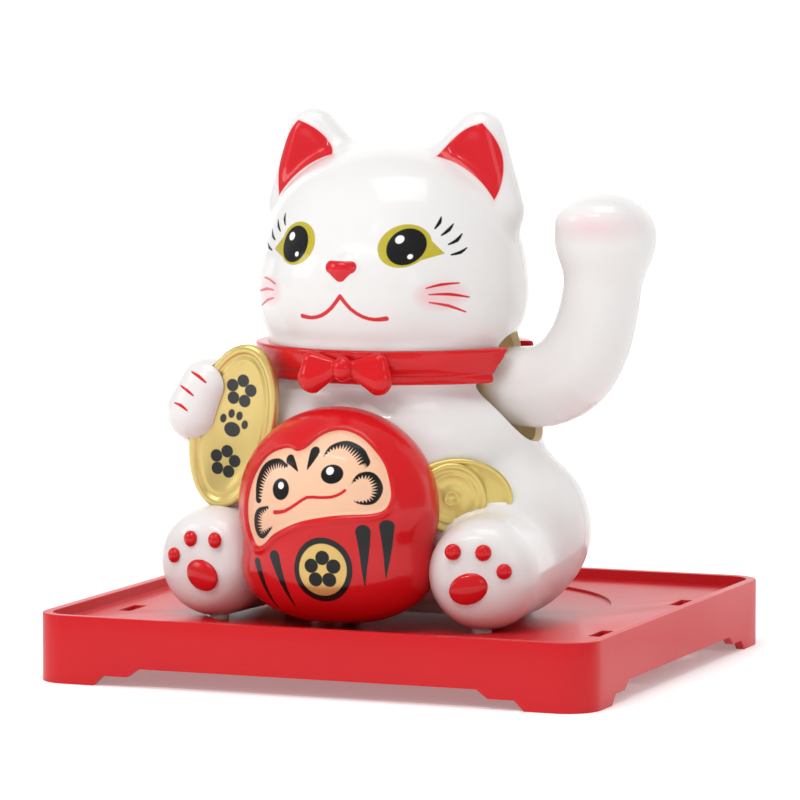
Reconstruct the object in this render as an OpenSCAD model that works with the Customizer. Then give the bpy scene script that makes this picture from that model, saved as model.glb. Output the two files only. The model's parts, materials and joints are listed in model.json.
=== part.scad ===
// Beckoning cat on a display tray. The cat faces -Y, +X is the cat's left side, +Z is up.
// The origin is the centre of the tray's footprint, on the surface that the tray stands on.
// A pendulum below the arm's shaft is kept swinging by a coil, so the arm waves.

/* [Tray] */
// Width of the tray
tray_w = 150; // [136:1:182]
// Depth of the tray
tray_d = 139; // [132:1:168]
// Height of the tray's rim
tray_h = 17.4; // [15:0.1:21]
// Outer corner radius of the tray
tray_r = 8.9; // [5:0.1:12]
// Wall of the tray's skirt and floor
tray_wall = 2.4; // [1.8:0.1:3]
// Depth of the tray's floor below its rim
tray_sink = 2.8; // [1:0.1:4]
// Depth of the oval recess that the cat stands in
recess_deep = 0.8; // [0.4:0.1:1.2]
// Length of each corner foot along the skirt
foot_len = 17; // [12:0.5:22]
// Height of the skirt's bottom edge between the feet
skirt_gap = 4.8; // [3:0.1:6]
// Length of each slot for the clear cover's tabs
slot_len = 11; // [8:0.5:14]
// Width of each slot
slot_w = 3.6; // [2.5:0.1:3.9]

/* [Cat] */
// Sideways place of the cat's middle plane on the tray
cat_x = -2; // [-6:0.5:6]
// Wall of the cat's moulded shells
shell_wall = 1.8; // [1.4:0.1:2.4]
// Height of the pegs under the cat
peg_h = 2.6; // [2:0.1:4]
// Radius of the pegs under the cat
peg_r = 2.5; // [1.5:0.1:3]
// Gap at a seam between pieces that are pushed together
seam_gap = 0.15; // [0.1:0.05:0.3]
// Thickness of the collar
collar_t = 1.3; // [0.8:0.1:2]
// Radius of the shoulder opening
shoulder_hole_r = 14; // [13:0.1:15]

/* [Waving arm] */
// Height of the shaft above the cat's underside
axis_h = 56.8; // [54:0.2:60]
// Radius of the upper arm
upper_arm_r = 10.6; // [9:0.1:11.5]
// Distance from the cat's middle plane to the forearm
arm_reach = 55.5; // [54:0.5:60]
// Height of the paw's centre above the shaft
paw_up = 38; // [34:0.5:44]
// Wall of the arm's mouldings
arm_wall = 1.3; // [1:0.1:1.8]
// Radius of the steel shaft
shaft_r = 1.5; // [1.2:0.05:2]
// Radial running clearance of the shaft in its bushes
run_gap = 0.05; // [0.02:0.01:0.1]

/* [Pendulum] */
// Length from the shaft to the bottom of the magnet
pend_len = 43; // [36:0.5:44]
// Distance from the shaft down to the counterweight's centre
weight_drop = 30; // [25:0.5:32]
// Radius of the counterweight
weight_r = 6.5; // [5.5:0.1:7]
// Length of the counterweight
weight_len = 11; // [9:0.5:12]
// Radius of the magnet
magnet_r = 3.5; // [3:0.1:4]
// Thickness of the magnet
magnet_t = 3; // [2:0.1:3.5]

/* [Power] */
// Radius of the battery cell
cell_r = 5.25; // [4.5:0.05:6.4]
// Length of the battery cell with its button
cell_len = 44.5; // [37:0.1:46]
// Clearance between the cell and its holder
cell_gap = 0.35; // [0.2:0.05:0.6]
// Travel of the power switch
switch_travel = 2.5; // [1.5:0.1:3]
// Gap round the battery cover
cover_gap = 0.35; // [0.3:0.05:0.5]
// Outer radius of the coil
coil_r = 7.5; // [6:0.1:8]
// Height of the coil's bobbin
coil_h = 5; // [4:0.1:5.5]

/* [Held things] */
// Width of the oval coin
koban_w = 23; // [20:0.5:26]
// Height of the oval coin
koban_h = 43; // [38:0.5:46]
// Thickness of the oval coin
koban_t = 3.2; // [2.4:0.1:4]
// Length of the small coin on the hip
hip_coin_l = 30; // [24:0.5:34]
// Width of the small coin on the hip
hip_coin_w = 20; // [16:0.5:22]

/* [Hidden] */
SOFT = 24;
ROUND = 48;
tray_floor = tray_h - tray_sink;
stand_z = tray_floor - recess_deep;
tray_under = stand_z - tray_wall;
bottom_z = stand_z + peg_h;
axis_y = -3;
axis_z = bottom_z + axis_h;
seam_y = axis_y;

// The recess and its rounded ends
recess_r = 50.5;
recess_half = 7;
slot_x = tray_w / 2 - 10.5;
slot_y = tray_d / 2 - 38.5;
screw_r = 1.2;
screw_head_r = 2.4;
screw_head_t = 1.6;
bore_gap = 0.02;
rim_w = 2.6;

// Inside the body
plate_w = 62;
plate_d = 44;
plate_t = 2.4;
plate_y = -2;
plate_r = 8;
plate_top = bottom_z + plate_t;
plate_hole_x = plate_w / 2 - 5;
plate_hole_y = plate_d / 2 - 5;
boss_x = plate_w / 2 - 4;
boss_y = plate_y - 2;
boss_r = 3.6;
boss_top = bottom_z + 7;
gusset_w = 27;
gusset_d = 7;
gusset_h = 8;
hub_r = shaft_r + 2.5;
bush_r = shaft_r + 1.5;
bush_len = 4;
bracket_t = 3;
bracket_foot_w = 6;
bracket_foot_d = 24;
bracket_foot_t = 2;
bracket_hole_y = 9;
bracket_x = [cat_x - 5, cat_x + 20];
lever_x = cat_x + 7;
lever_t = 3;
lever_w = 6;
shaft_left = bracket_x[0] - 4;
shaft_right = cat_x + arm_reach - 11;
arm_root = cat_x + 22;
weight_z = axis_z - weight_drop;
magnet_z = axis_z - pend_len;

// Circuit board and coil
board_w = bracket_x[1] - bracket_x[0] - bracket_foot_w - 2;
board_d = 22;
board_t = 1.6;
board_x = (bracket_x[0] + bracket_x[1]) / 2;
board_y = axis_y - 1;
board_lift = 1;
board_z = plate_top + board_lift;
board_hole_x = 6.5;
board_hole_y = 9;
coil_z = board_z + board_t;
flange_t = 0.7;

// Cell, holder and cover
cell_x = cat_x;
cell_y = 21;
holder_wall = 1;
holder_foot = 4;
contact_t = 0.4;
spring_len = 3.2;
spring_wire = 0.4;
holder_in = cell_r + cell_gap;
holder_out = holder_in + holder_wall;
holder_len = cell_len + spring_len + 2 * contact_t + 0.3;
holder_z = plate_top + holder_foot + holder_wall;
cell_z = holder_z + contact_t + spring_len + 0.1;
cover_w = 2 * holder_in + 4;
cover_z0 = plate_top + 0.4;
cover_h = holder_z + holder_len + holder_wall - cover_z0 - 0.8;
switch_x = cat_x + 19;
switch_y = 19.2;
switch_z = bottom_z + 30.6;
knob_w = 4;
knob_h = 3;
knob_len = 9.3;

// Middle of a hind foot, from the point under the cat's middle
foot_at = [36.5, -33, 13];
foot_turn = 13;

// Collar, bow and leads
collar_low = bottom_z + 59;
collar_high = bottom_z + 67.5;
bow_y = -39.2;
wire_r = 0.55;
lead_z = board_z + board_t / 2;
board_back = board_y + board_d / 2 + wire_r + 0.05;
lead_side = holder_out + wire_r + 0.05;

// An ellipsoid of the body, grown all round by g
module blob(at, r, g = 0, fn = SOFT) {
    translate(at) scale([r[0] + g, r[1] + g, r[2] + g]) sphere(r = 1, $fn = fn);
}

// The cat's outer form without its arms, grown all round by g
module cat_form(g = 0) {
    translate([cat_x, 0, bottom_z]) {
        // head: cheeks and crown
        hull() {
            blob([0, -6, 80.5], [36.5, 33, 22], g);
            blob([0, -4, 93], [31.5, 29, 26], g);
        }
        // muzzle
        hull() for (side = [-1, 1]) blob([side * 6, -31, 83.5], [12, 8.2, 10.5], g);
        // ears
        for (side = [-1, 1]) hull() {
            blob([side * 23.4, -3, 122], [5.4, 4, 5.6], g);
            blob([side * 30, -3, 104], [4.6, 6, 8], g);
            blob([side * 13, -3, 112], [6, 7, 7], g);
        }
        // neck and chest
        hull() {
            blob([0, -3.5, 65], [34.4, 33.5, 5], g);
            blob([0, -3, 42], [40, 34, 14], g);
        }
        // belly and seat
        hull() {
            blob([0, -3, 33], [45, 34.5, 24], g);
            blob([0, -2, 9], [44, 33.5, 11], g);
        }
        for (side = [-1, 1]) {
            // haunch
            hull() {
                blob([side * 30, -4, 19], [23, 25, 19], g);
                blob([side * 26, -2, 34], [21, 24, 14], g);
            }
            // hind foot, turned out a little
            hull() {
                blob([side * foot_at[0], foot_at[1], foot_at[2]], [12.9, 12.9, 13], g);
                blob([side * 33, -8, 16], [17, 17, 16.4], g);
            }
        }
    }
}

// Half of space in front of or behind the seam, above the underside
module half_space(front, g = 0) {
    translate([-100, front ? seam_y - 100 - g : seam_y + g, bottom_z]) cube([200, 100, 140]);
}

// The shoulder opening, a cylinder along the shaft's line
module shoulder_cut(r = shoulder_hole_r) {
    translate([24, axis_y, axis_z]) rotate([0, 90, 0]) cylinder(r = r, h = 60, $fn = ROUND);
}

module rounded_plate(w, d, r, h) {
    linear_extrude(height = h) hull() for (x = [-1, 1], y = [-1, 1])
        translate([x * (w / 2 - r), y * (d / 2 - r)]) circle(r = r, $fn = ROUND);
}

// The space that the base plate fills, up to its top
module plate_shape(g = 0) {
    translate([cat_x, plate_y, bottom_z - 1])
        rounded_plate(plate_w + 2 * g, plate_d + 2 * g, plate_r + g, plate_t + 1);
}

// The block of wall that the battery cover takes out of the rear shell
module cover_block(g = 0) {
    translate([cell_x - cover_w / 2 - g, 10, cover_z0 - g])
        cube([cover_w + 2 * g, 40, cover_h + 2 * g]);
}

module switch_slot(g = 0) {
    translate([switch_x - knob_w / 2 - g, 10, switch_z - knob_h / 2 - g])
        cube([knob_w + switch_travel + 2 * g, 30, knob_h + 2 * g]);
}

// Gussets on the side walls that take the base plate's screws
module gussets(front) {
    y = plate_y + (front ? -1 : 1) * plate_hole_y;
    intersection() {
        cat_form(-shell_wall / 2);
        for (x = [-1, 1])
            translate([cat_x + x * (plate_hole_x + 10) - gusset_w / 2, y - gusset_d / 2, plate_top])
                cube([gusset_w, gusset_d, gusset_h]);
    }
}

module shell(front) {
    difference() {
        union() {
            difference() {
                cat_form();
                cat_form(-shell_wall);
            }
            gussets(front);
        }
        half_space(!front, -seam_gap / 2);
        shoulder_cut();
        plate_shape(seam_gap);
        for (x = [-1, 1], y = [-1, 1])
            translate([cat_x + x * plate_hole_x, plate_y + y * plate_hole_y, plate_top - 1])
                cylinder(r = screw_r + bore_gap, h = gusset_h, $fn = SOFT);
        if (!front) cover_block(0);
        if (!front) switch_slot(0.3);
        translate([-100, -100, -10]) cube([200, 200, bottom_z + 10]);
    }
}

module front_shell() {
    color("whitesmoke") shell(true);
}

module rear_shell() {
    color("white") shell(false);
}

// The red band round the neck, open at the shoulder
module collar() {
    color("crimson") difference() {
        cat_form(collar_t);
        cat_form(seam_gap);
        translate([-100, -100, -10]) cube([200, 200, collar_low + 10]);
        translate([-100, -100, collar_high]) cube([200, 200, 100]);
        shoulder_cut(shoulder_hole_r + 0.4);
    }
}

// A bow of two lobes and a knot, seated on the front of the collar
module bow() {
    color("red") difference() {
        translate([cat_x, bow_y, bottom_z + 62.5]) {
            for (side = [-1, 1]) hull() {
                blob([side * 2, 0, 0], [1.5, 2.2, 2]);
                blob([side * 8.8, 0.6, -2.4], [2.6, 2.4, 4.6]);
            }
            blob([0, -0.6, 0], [2.8, 2.8, 3]);
        }
        cat_form(collar_t + 0.1);
    }
}

// Two pegs under the hind feet and two under the base plate
module foot_pegs() {
    color("whitesmoke") for (side = [-1, 1], at = [[36, -35], [19, 14]])
        translate([cat_x + side * at[0], at[1], stand_z])
            cylinder(r = peg_r, h = peg_h, $fn = ROUND);
}

// One large pad and three toe pads, on the sole of a hind foot that faces forwards
module foot_pads(side) {
    toe = [1.9, 1.6, 1.9];
    translate([cat_x + side * foot_at[0], foot_at[1], bottom_z + foot_at[2]])
        rotate([0, 0, side * foot_turn]) {
            blob([-side * 2.5, -12.4, -3.4], [4.6, 2.2, 3.7], 0, 18);
            blob([-side * 6.5, -11, 5.8], toe, 0, 14);
            blob([side * 0.5, -12, 5.6], toe, 0, 14);
            blob([side * 6, -11.8, 1], toe, 0, 14);
        }
}

module paw_pads() {
    color("red") difference() {
        union() {
            foot_pads(-1);
            foot_pads(1);
        }
        cat_form(0.02);
    }
}

// The arm that holds the oval coin: upper arm, elbow and paw
module holding_form(g = 0) {
    translate([cat_x, 0, bottom_z]) {
        hull() {
            blob([-30, -12, 50], [11, 11, 11], g);
            blob([-39, -22, 48], [9.5, 9.5, 10], g);
        }
        hull() {
            blob([-39, -22, 48], [9.5, 9.5, 10], g);
            blob([-43, -28, 54.5], [9.2, 10, 9.8], g);
        }
    }
}

module holding_arm() {
    color("whitesmoke") difference() {
        holding_form();
        cat_form(seam_gap);
        coin_plate(seam_gap);
        cat_form(collar_t + 0.2);
    }
}

// The oval coin stands upright in the paw and leans inwards at the top
module coin_plate(g = 0) {
    translate([cat_x - 33.5, -34.5, bottom_z + 47]) rotate([0, 14, 0]) rotate([90, 0, 0])
        translate([0, 0, -koban_t / 2 - g])
            scale([(koban_w + 2 * g) / (koban_h + 2 * g), 1, 1])
                cylinder(d = koban_h + 2 * g, h = koban_t + 2 * g, $fn = ROUND);
}

module oval_coin() {
    color("gold") difference() {
        coin_plate();
        cat_form(0.15);
    }
}

module hip_coin() {
    color("gold") difference() {
        translate([cat_x + 28, -29, bottom_z + 30.5]) rotate([0, 0, 27]) rotate([90, 0, 0])
            scale([hip_coin_l / hip_coin_w, 1, 1])
                cylinder(d = hip_coin_w, h = 2.6, center = true, $fn = ROUND);
        cat_form(seam_gap);
        daruma_form(seam_gap);
    }
}

// The egg-shaped doll, leaning a little to the cat's right
module daruma_form(g = 0) {
    translate([cat_x - 1, -38.5, bottom_z]) rotate([0, -4, 0]) hull() {
        blob([1, 0, 11.5], [21.5, 17, 13], g);
        blob([0.5, 0, 27.5], [26.2, 19, 20], g);
        blob([0, 0, 35], [20.5, 16, 18.7], g);
    }
}

module daruma_doll() {
    color("red") difference() {
        daruma_form();
        cat_form(seam_gap);
        coin_plate(0.2);
        translate([-100, -100, -10]) cube([200, 200, bottom_z + 9]);
    }
}

// Skirt cut-outs between the feet: a low step next to each foot, then the full height
module skirt_cut(len) {
    step_z = skirt_gap * 0.54;
    low = len / 2 - foot_len;
    rotate([90, 0, 0]) linear_extrude(height = 200, center = true)
        polygon([[-low, -1], [-low, 0], [-low + 2.6, step_z], [-low + 9.5, step_z],
            [-low + 12.5, skirt_gap], [low - 12.5, skirt_gap], [low - 9.5, step_z],
            [low - 2.6, step_z], [low, 0], [low, -1]]);
}

module tray() {
    color("firebrick") difference() {
        rounded_plate(tray_w, tray_d, tray_r, tray_h);
        translate([0, 0, tray_floor])
            rounded_plate(tray_w - 2 * rim_w, tray_d - 2 * rim_w, tray_r - rim_w, tray_h);
        translate([0, 0, -1])
            rounded_plate(tray_w - 2 * tray_wall, tray_d - 2 * tray_wall,
                tray_r - tray_wall, tray_under + 1);
        translate([0, 0, stand_z]) linear_extrude(height = tray_h) hull() for (y = [-1, 1])
            translate([0, y * recess_half]) circle(r = recess_r, $fn = 2 * ROUND);
        skirt_cut(tray_w);
        rotate([0, 0, 90]) skirt_cut(tray_d);
        for (x = [-1, 1], y = [-1, 1])
            translate([x * slot_x - slot_w / 2, y * slot_y - slot_len / 2, 0])
                cube([slot_w, slot_len, tray_h]);
        for (x = [-1, 1]) translate([cat_x + x * boss_x, boss_y, 0])
            cylinder(r = screw_r + 0.2, h = tray_h, $fn = ROUND);
    }
}

// A plain screw with a round head, pointing up from its head
module screw(len, head_r = screw_head_r) {
    cylinder(r = head_r, h = screw_head_t, $fn = ROUND);
    cylinder(r = screw_r, h = screw_head_t + len, $fn = ROUND);
}

module tray_screws() {
    color("silver") for (x = [-1, 1])
        translate([cat_x + x * boss_x, boss_y, tray_under - screw_head_t])
            screw(boss_top - 1 - tray_under);
}

// Closes the underside. Two bosses take the tray's screws and two low ones carry the circuit board.
module base_plate() {
    color("gainsboro") difference() {
        union() {
            translate([cat_x, plate_y, bottom_z]) rounded_plate(plate_w, plate_d, plate_r, plate_t);
            for (x = [-1, 1]) translate([cat_x + x * boss_x, boss_y, stand_z])
                cylinder(r = boss_r, h = boss_top - stand_z, $fn = ROUND);
            for (s = [-1, 1])
                translate([board_x + s * board_hole_x, board_y + s * board_hole_y, plate_top - 0.5])
                    cylinder(r = 2, h = board_lift + 0.5, $fn = ROUND);
        }
        for (x = [-1, 1]) translate([cat_x + x * boss_x, boss_y, stand_z - 1])
            cylinder(r = screw_r + bore_gap, h = boss_top - stand_z + 2, $fn = ROUND);
        for (x = [-1, 1], y = [-1, 1])
            translate([cat_x + x * plate_hole_x, plate_y + y * plate_hole_y, bottom_z - 1])
                cylinder(r = screw_r + bore_gap, h = plate_t + 2, $fn = ROUND);
        for (x = bracket_x, y = [-1, 1]) translate([x, axis_y + y * bracket_hole_y, bottom_z - 1])
            cylinder(r = screw_r + bore_gap, h = plate_t + 2, $fn = ROUND);
        for (s = [-1, 1])
            translate([board_x + s * board_hole_x, board_y + s * board_hole_y, bottom_z - 1])
                cylinder(r = screw_r + bore_gap, h = plate_t + 3, $fn = ROUND);
    }
}

module plate_screws() {
    color("silver") for (x = [-1, 1], y = [-1, 1])
        translate([cat_x + x * plate_hole_x, plate_y + y * plate_hole_y, bottom_z - screw_head_t])
            screw(plate_t + gusset_h - 2);
}

// A tapered post on a foot, with the seat of a shaft bush at its top
module bracket(x) {
    top = bush_r + 2;
    difference() {
        union() {
            translate([x - bracket_t / 2, axis_y, 0]) rotate([90, 0, 90])
                linear_extrude(height = bracket_t) polygon([[-top - 1.5, plate_top],
                    [top + 1.5, plate_top], [top, axis_z], [bush_r, axis_z + top],
                    [-bush_r, axis_z + top], [-top, axis_z]]);
            translate([x - bracket_foot_w / 2, axis_y - bracket_foot_d / 2, plate_top])
                cube([bracket_foot_w, bracket_foot_d, bracket_foot_t]);
        }
        translate([x - bracket_t, axis_y, axis_z]) rotate([0, 90, 0])
            cylinder(r = bush_r, h = 2 * bracket_t, $fn = ROUND);
        for (y = [-1, 1]) translate([x, axis_y + y * bracket_hole_y, plate_top - 1])
            cylinder(r = screw_r + bore_gap, h = bracket_foot_t + 2, $fn = ROUND);
    }
}

module left_bracket() {
    color("lightgray") bracket(bracket_x[0]);
}

module right_bracket() {
    color("lightgray") bracket(bracket_x[1]);
}

module bracket_screws() {
    color("silver") for (x = bracket_x, y = [-1, 1])
        translate([x, axis_y + y * bracket_hole_y, plate_top + bracket_foot_t + screw_head_t])
            rotate([180, 0, 0]) screw(bracket_foot_t + 1.6);
}

module bush(x) {
    color("goldenrod") translate([x - bush_len / 2, axis_y, axis_z]) rotate([0, 90, 0]) difference() {
        cylinder(r = bush_r, h = bush_len, $fn = ROUND);
        translate([0, 0, -1]) cylinder(r = shaft_r + run_gap, h = bush_len + 2, $fn = ROUND);
    }
}

module left_bush() {
    bush(bracket_x[0]);
}

module right_bush() {
    bush(bracket_x[1]);
}

module arm_shaft() {
    color("silver") translate([shaft_left, axis_y, axis_z]) rotate([0, 90, 0])
        cylinder(r = shaft_r, h = shaft_right - shaft_left, $fn = ROUND);
}

module shaft_clip() {
    color("dimgray") translate([shaft_left + 0.8, axis_y, axis_z]) rotate([0, 90, 0]) difference() {
        cylinder(r = bush_r + 0.2, h = 0.8, $fn = ROUND);
        translate([0, 0, -1]) cylinder(r = shaft_r, h = 3, $fn = ROUND);
    }
}

// The waving arm: shoulder, elbow, forearm and paw, all in the shaft's upright plane
ARM = [[[cat_x + 32, 0], [4.5, upper_arm_r - 1, upper_arm_r - 1]],
    [[cat_x + 40, 0.4], [8, upper_arm_r, upper_arm_r]],
    [[cat_x + arm_reach - 6, 3.6], [11, 10.6, 11]],
    [[cat_x + arm_reach, 18], [9.8, 9.8, 10]],
    [[cat_x + arm_reach + 1.5, 28], [10.3, 10.3, 10]],
    [[cat_x + arm_reach + 2, paw_up], [12.8, 12, 10.9]]];

module arm_form(g = 0) {
    translate([0, axis_y, axis_z]) for (i = [0 : len(ARM) - 2]) hull() for (k = [i, i + 1])
        blob([ARM[k][0][0], 0, ARM[k][0][1]], ARM[k][1], g);
}

module arm_half(front) {
    difference() {
        arm_form();
        difference() {
            arm_form(-arm_wall);
            // hub that grips the shaft
            translate([arm_root, axis_y, axis_z]) rotate([0, 90, 0])
                cylinder(r = hub_r, h = shaft_right - arm_root + 0.5, $fn = ROUND);
        }
        translate([arm_root, axis_y, axis_z]) rotate([0, 90, 0])
            cylinder(r = shaft_r + bore_gap, h = shaft_right - arm_root + 0.1, $fn = ROUND);
        translate([0, front ? axis_y - seam_gap / 2 : axis_y + seam_gap / 2 - 100, 0])
            cube([100, 100, 200]);
    }
}

module arm_front_half() {
    color("whitesmoke") arm_half(true);
}

module arm_rear_half() {
    color("white") arm_half(false);
}

// Hub, bar and cup below the shaft; it carries the counterweight and the magnet
module pendulum_lever() {
    color("dimgray") difference() {
        union() {
            translate([lever_x - 5, axis_y, axis_z]) rotate([0, 90, 0])
                cylinder(r = hub_r, h = 10, $fn = ROUND);
            translate([lever_x - lever_t / 2, axis_y - lever_w / 2, magnet_z + magnet_t])
                cube([lever_t, lever_w, pend_len - magnet_t]);
            translate([lever_x, axis_y, magnet_z + magnet_t - 0.01])
                cylinder(r = magnet_r, h = 1.6, $fn = ROUND);
        }
        translate([lever_x - 6, axis_y, axis_z]) rotate([0, 90, 0])
            cylinder(r = shaft_r, h = 12, $fn = ROUND);
    }
}

module counterweight() {
    color("slategray") difference() {
        translate([lever_x - weight_len / 2, axis_y, weight_z]) rotate([0, 90, 0])
            cylinder(r = weight_r, h = weight_len, $fn = ROUND);
        translate([lever_x - lever_t / 2, axis_y - lever_w / 2, weight_z - 20])
            cube([lever_t, lever_w, 40]);
    }
}

module magnet() {
    color("darkgray") translate([lever_x, axis_y, magnet_z])
        cylinder(r = magnet_r, h = magnet_t - 0.01, $fn = ROUND);
}

module circuit_board() {
    color("darkgreen") difference() {
        translate([board_x - board_w / 2, board_y - board_d / 2, board_z])
            cube([board_w, board_d, board_t]);
        for (s = [-1, 1])
            translate([board_x + s * board_hole_x, board_y + s * board_hole_y, board_z - 1])
                cylinder(r = screw_r + bore_gap, h = board_t + 2, $fn = ROUND);
    }
}

module board_screws() {
    color("silver") for (s = [-1, 1])
        translate([board_x + s * board_hole_x, board_y + s * board_hole_y, coil_z + screw_head_t])
            rotate([180, 0, 0]) screw(board_t + board_lift + plate_t - 0.4, 1.7);
}

module coil_bobbin() {
    color("ivory") translate([lever_x, axis_y, coil_z]) difference() {
        union() {
            cylinder(r = coil_r * 0.42, h = coil_h, $fn = ROUND);
            cylinder(r = coil_r, h = flange_t, $fn = ROUND);
            translate([0, 0, coil_h - flange_t]) cylinder(r = coil_r, h = flange_t, $fn = ROUND);
        }
        translate([0, 0, -1]) cylinder(r = coil_r * 0.25, h = coil_h + 2, $fn = ROUND);
    }
}

module coil_winding() {
    color("chocolate") translate([lever_x, axis_y, coil_z + flange_t]) difference() {
        cylinder(r = coil_r - 0.5, h = coil_h - 2 * flange_t, $fn = ROUND);
        translate([0, 0, -1]) cylinder(r = coil_r * 0.42, h = coil_h + 2, $fn = ROUND);
    }
}

module transistor() {
    color("black") translate([board_x + 4, board_y - board_d / 2 + 1, coil_z]) cube([3.4, 2, 3]);
}

module capacitor() {
    color("navy") translate([board_x - board_hole_x, board_y + board_hole_y - 0.5, coil_z])
        cylinder(r = 1.6, h = 4, $fn = ROUND);
}

// An open-backed trough on a foot. The cell stands in it between two end walls.
module battery_holder() {
    color("lightgray") difference() {
        union() {
            translate([cell_x - holder_out, cell_y - holder_out, holder_z - holder_wall])
                cube([2 * holder_out, holder_out + 1, holder_len + 2 * holder_wall]);
            translate([cell_x - holder_out, cell_y - holder_out, plate_top])
                cube([2 * holder_out, holder_out - 4, holder_foot + 0.1]);
        }
        translate([cell_x, cell_y, holder_z]) cylinder(r = holder_in, h = holder_len, $fn = ROUND);
        translate([cell_x - holder_in, cell_y, holder_z]) cube([2 * holder_in, 20, holder_len]);
    }
}

module battery_cell() {
    color("royalblue") translate([cell_x, cell_y, cell_z]) {
        cylinder(r = cell_r, h = cell_len - 1.4, $fn = ROUND);
        cylinder(r = cell_r * 0.38, h = cell_len, $fn = ROUND);
    }
}

// Four rings that stand for the turns of the conical spring, on a contact plate
module battery_spring() {
    color("silver") translate([cell_x, cell_y, holder_z]) {
        cylinder(r = cell_r - 0.2, h = contact_t, $fn = ROUND);
        for (i = [0 : 3]) translate([0, 0, contact_t + spring_wire + i * 0.8])
            rotate_extrude($fn = ROUND) translate([cell_r * 0.8 - 0.45 * i, 0])
                circle(r = spring_wire, $fn = 16);
    }
}

module battery_contact() {
    color("silver") translate([cell_x, cell_y, holder_z + holder_len - contact_t])
        cylinder(r = cell_r - 0.2, h = contact_t, $fn = ROUND);
}

module battery_cover() {
    color("white") difference() {
        cat_form();
        cat_form(-shell_wall);
        difference() {
            translate([-100, -100, -20]) cube([200, 250, 250]);
            cover_block(-cover_gap);
        }
    }
}

// The housing's back follows the inside of the rear shell
module switch_housing() {
    color("black") difference() {
        intersection() {
            cat_form(-shell_wall - bore_gap);
            translate([switch_x - 5, switch_y - 2, switch_z - 3.5])
                cube([10 + switch_travel, 14, 7]);
        }
        translate([switch_x - knob_w / 2 - 0.2, switch_y - 0.2, switch_z - knob_h / 2 - 0.2])
            cube([knob_w + switch_travel + 0.4, 20, knob_h + 0.4]);
    }
}

module switch_knob() {
    color("black") translate([switch_x - knob_w / 2, switch_y, switch_z - knob_h / 2])
        cube([knob_w, knob_len, knob_h]);
}

// A round lead along a list of points
function ring(a, b, r, n) = let(d = (b - a) / norm(b - a), q = [0.3, 0.4, 0.87],
    u = cross(d, q) / norm(cross(d, q)), v = cross(d, u))
    [for (i = [0 : n - 1]) r * (cos(360 * i / n) * u + sin(360 * i / n) * v)];
module lead(p, r = wire_r, n = 8) {
    m = len(p);
    pts = [for (k = [0 : m - 1]) let(o = ring(p[max(0, k - 1)], p[min(m - 1, k + 1)], r, n))
        for (i = [0 : n - 1]) p[k] + o[i]];
    sides = [for (k = [0 : m - 2], i = [0 : n - 1])
        [k * n + i, k * n + (i + 1) % n, (k + 1) * n + (i + 1) % n, (k + 1) * n + i]];
    polyhedron(pts, concat([[for (i = [n - 1 : -1 : 0]) i]], sides,
        [[for (i = [0 : n - 1]) (m - 1) * n + i]]));
}

module battery_black_lead() {
    x = cell_x - lead_side;
    color("black") lead([[x, 19, holder_z + 1], [x, 15, holder_z - 0.6], [x - 0.4, 11.5, lead_z + 1],
        [cell_x - 3.6, 10.6, lead_z], [cell_x, 9.6, lead_z], [cell_x + 0.4, board_back, lead_z]]);
}

module battery_red_lead() {
    x = cell_x + lead_side;
    y = switch_y + 0.3;
    color("red") lead([[x, 18, switch_z + 19], [x + 0.4, 17.5, switch_z + 13],
        [switch_x - 10, 17.5, switch_z + 6], [switch_x - 8, 18.5, switch_z + 1.5],
        [switch_x - 6.2, y, switch_z], [switch_x - 5.05, y, switch_z]]);
}

module switch_lead() {
    y = switch_y + 0.3;
    color("red") lead([[switch_x, y, switch_z - 3.55], [switch_x, y, switch_z - 5],
        [switch_x + 0.6, 17, switch_z - 9], [switch_x + 2, 12, switch_z - 15],
        [switch_x + 2, 10, plate_top + 8.2], [switch_x + 0.6, 10.8, plate_top + 4.2],
        [switch_x - 1.5, 11, lead_z + 0.6], [switch_x - 4.5, 10, lead_z],
        [switch_x - 5.5, board_back, lead_z]]);
}

tray();
front_shell();
rear_shell();
collar();
bow();
foot_pegs();
paw_pads();
holding_arm();
oval_coin();
hip_coin();
daruma_doll();
base_plate();
tray_screws();
plate_screws();
left_bracket();
right_bracket();
bracket_screws();
left_bush();
right_bush();
arm_shaft();
shaft_clip();
arm_front_half();
arm_rear_half();
pendulum_lever();
counterweight();
magnet();
circuit_board();
coil_bobbin();
coil_winding();
transistor();
capacitor();
board_screws();
battery_holder();
battery_cell();
battery_spring();
battery_contact();
battery_cover();
switch_housing();
switch_knob();
battery_red_lead();
battery_black_lead();
switch_lead();
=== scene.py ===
# %% [markdown]
# # A beckoning cat on its display tray
# The real figurine is blow-soft and glossy: two white plastic shells, a red collar, a gold coin in
# one paw, a painted doll in its lap and an arm that waves. The working parts come from a packed
# frame. Here each visible moulding gets its real surface, and each finish its own material.

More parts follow.
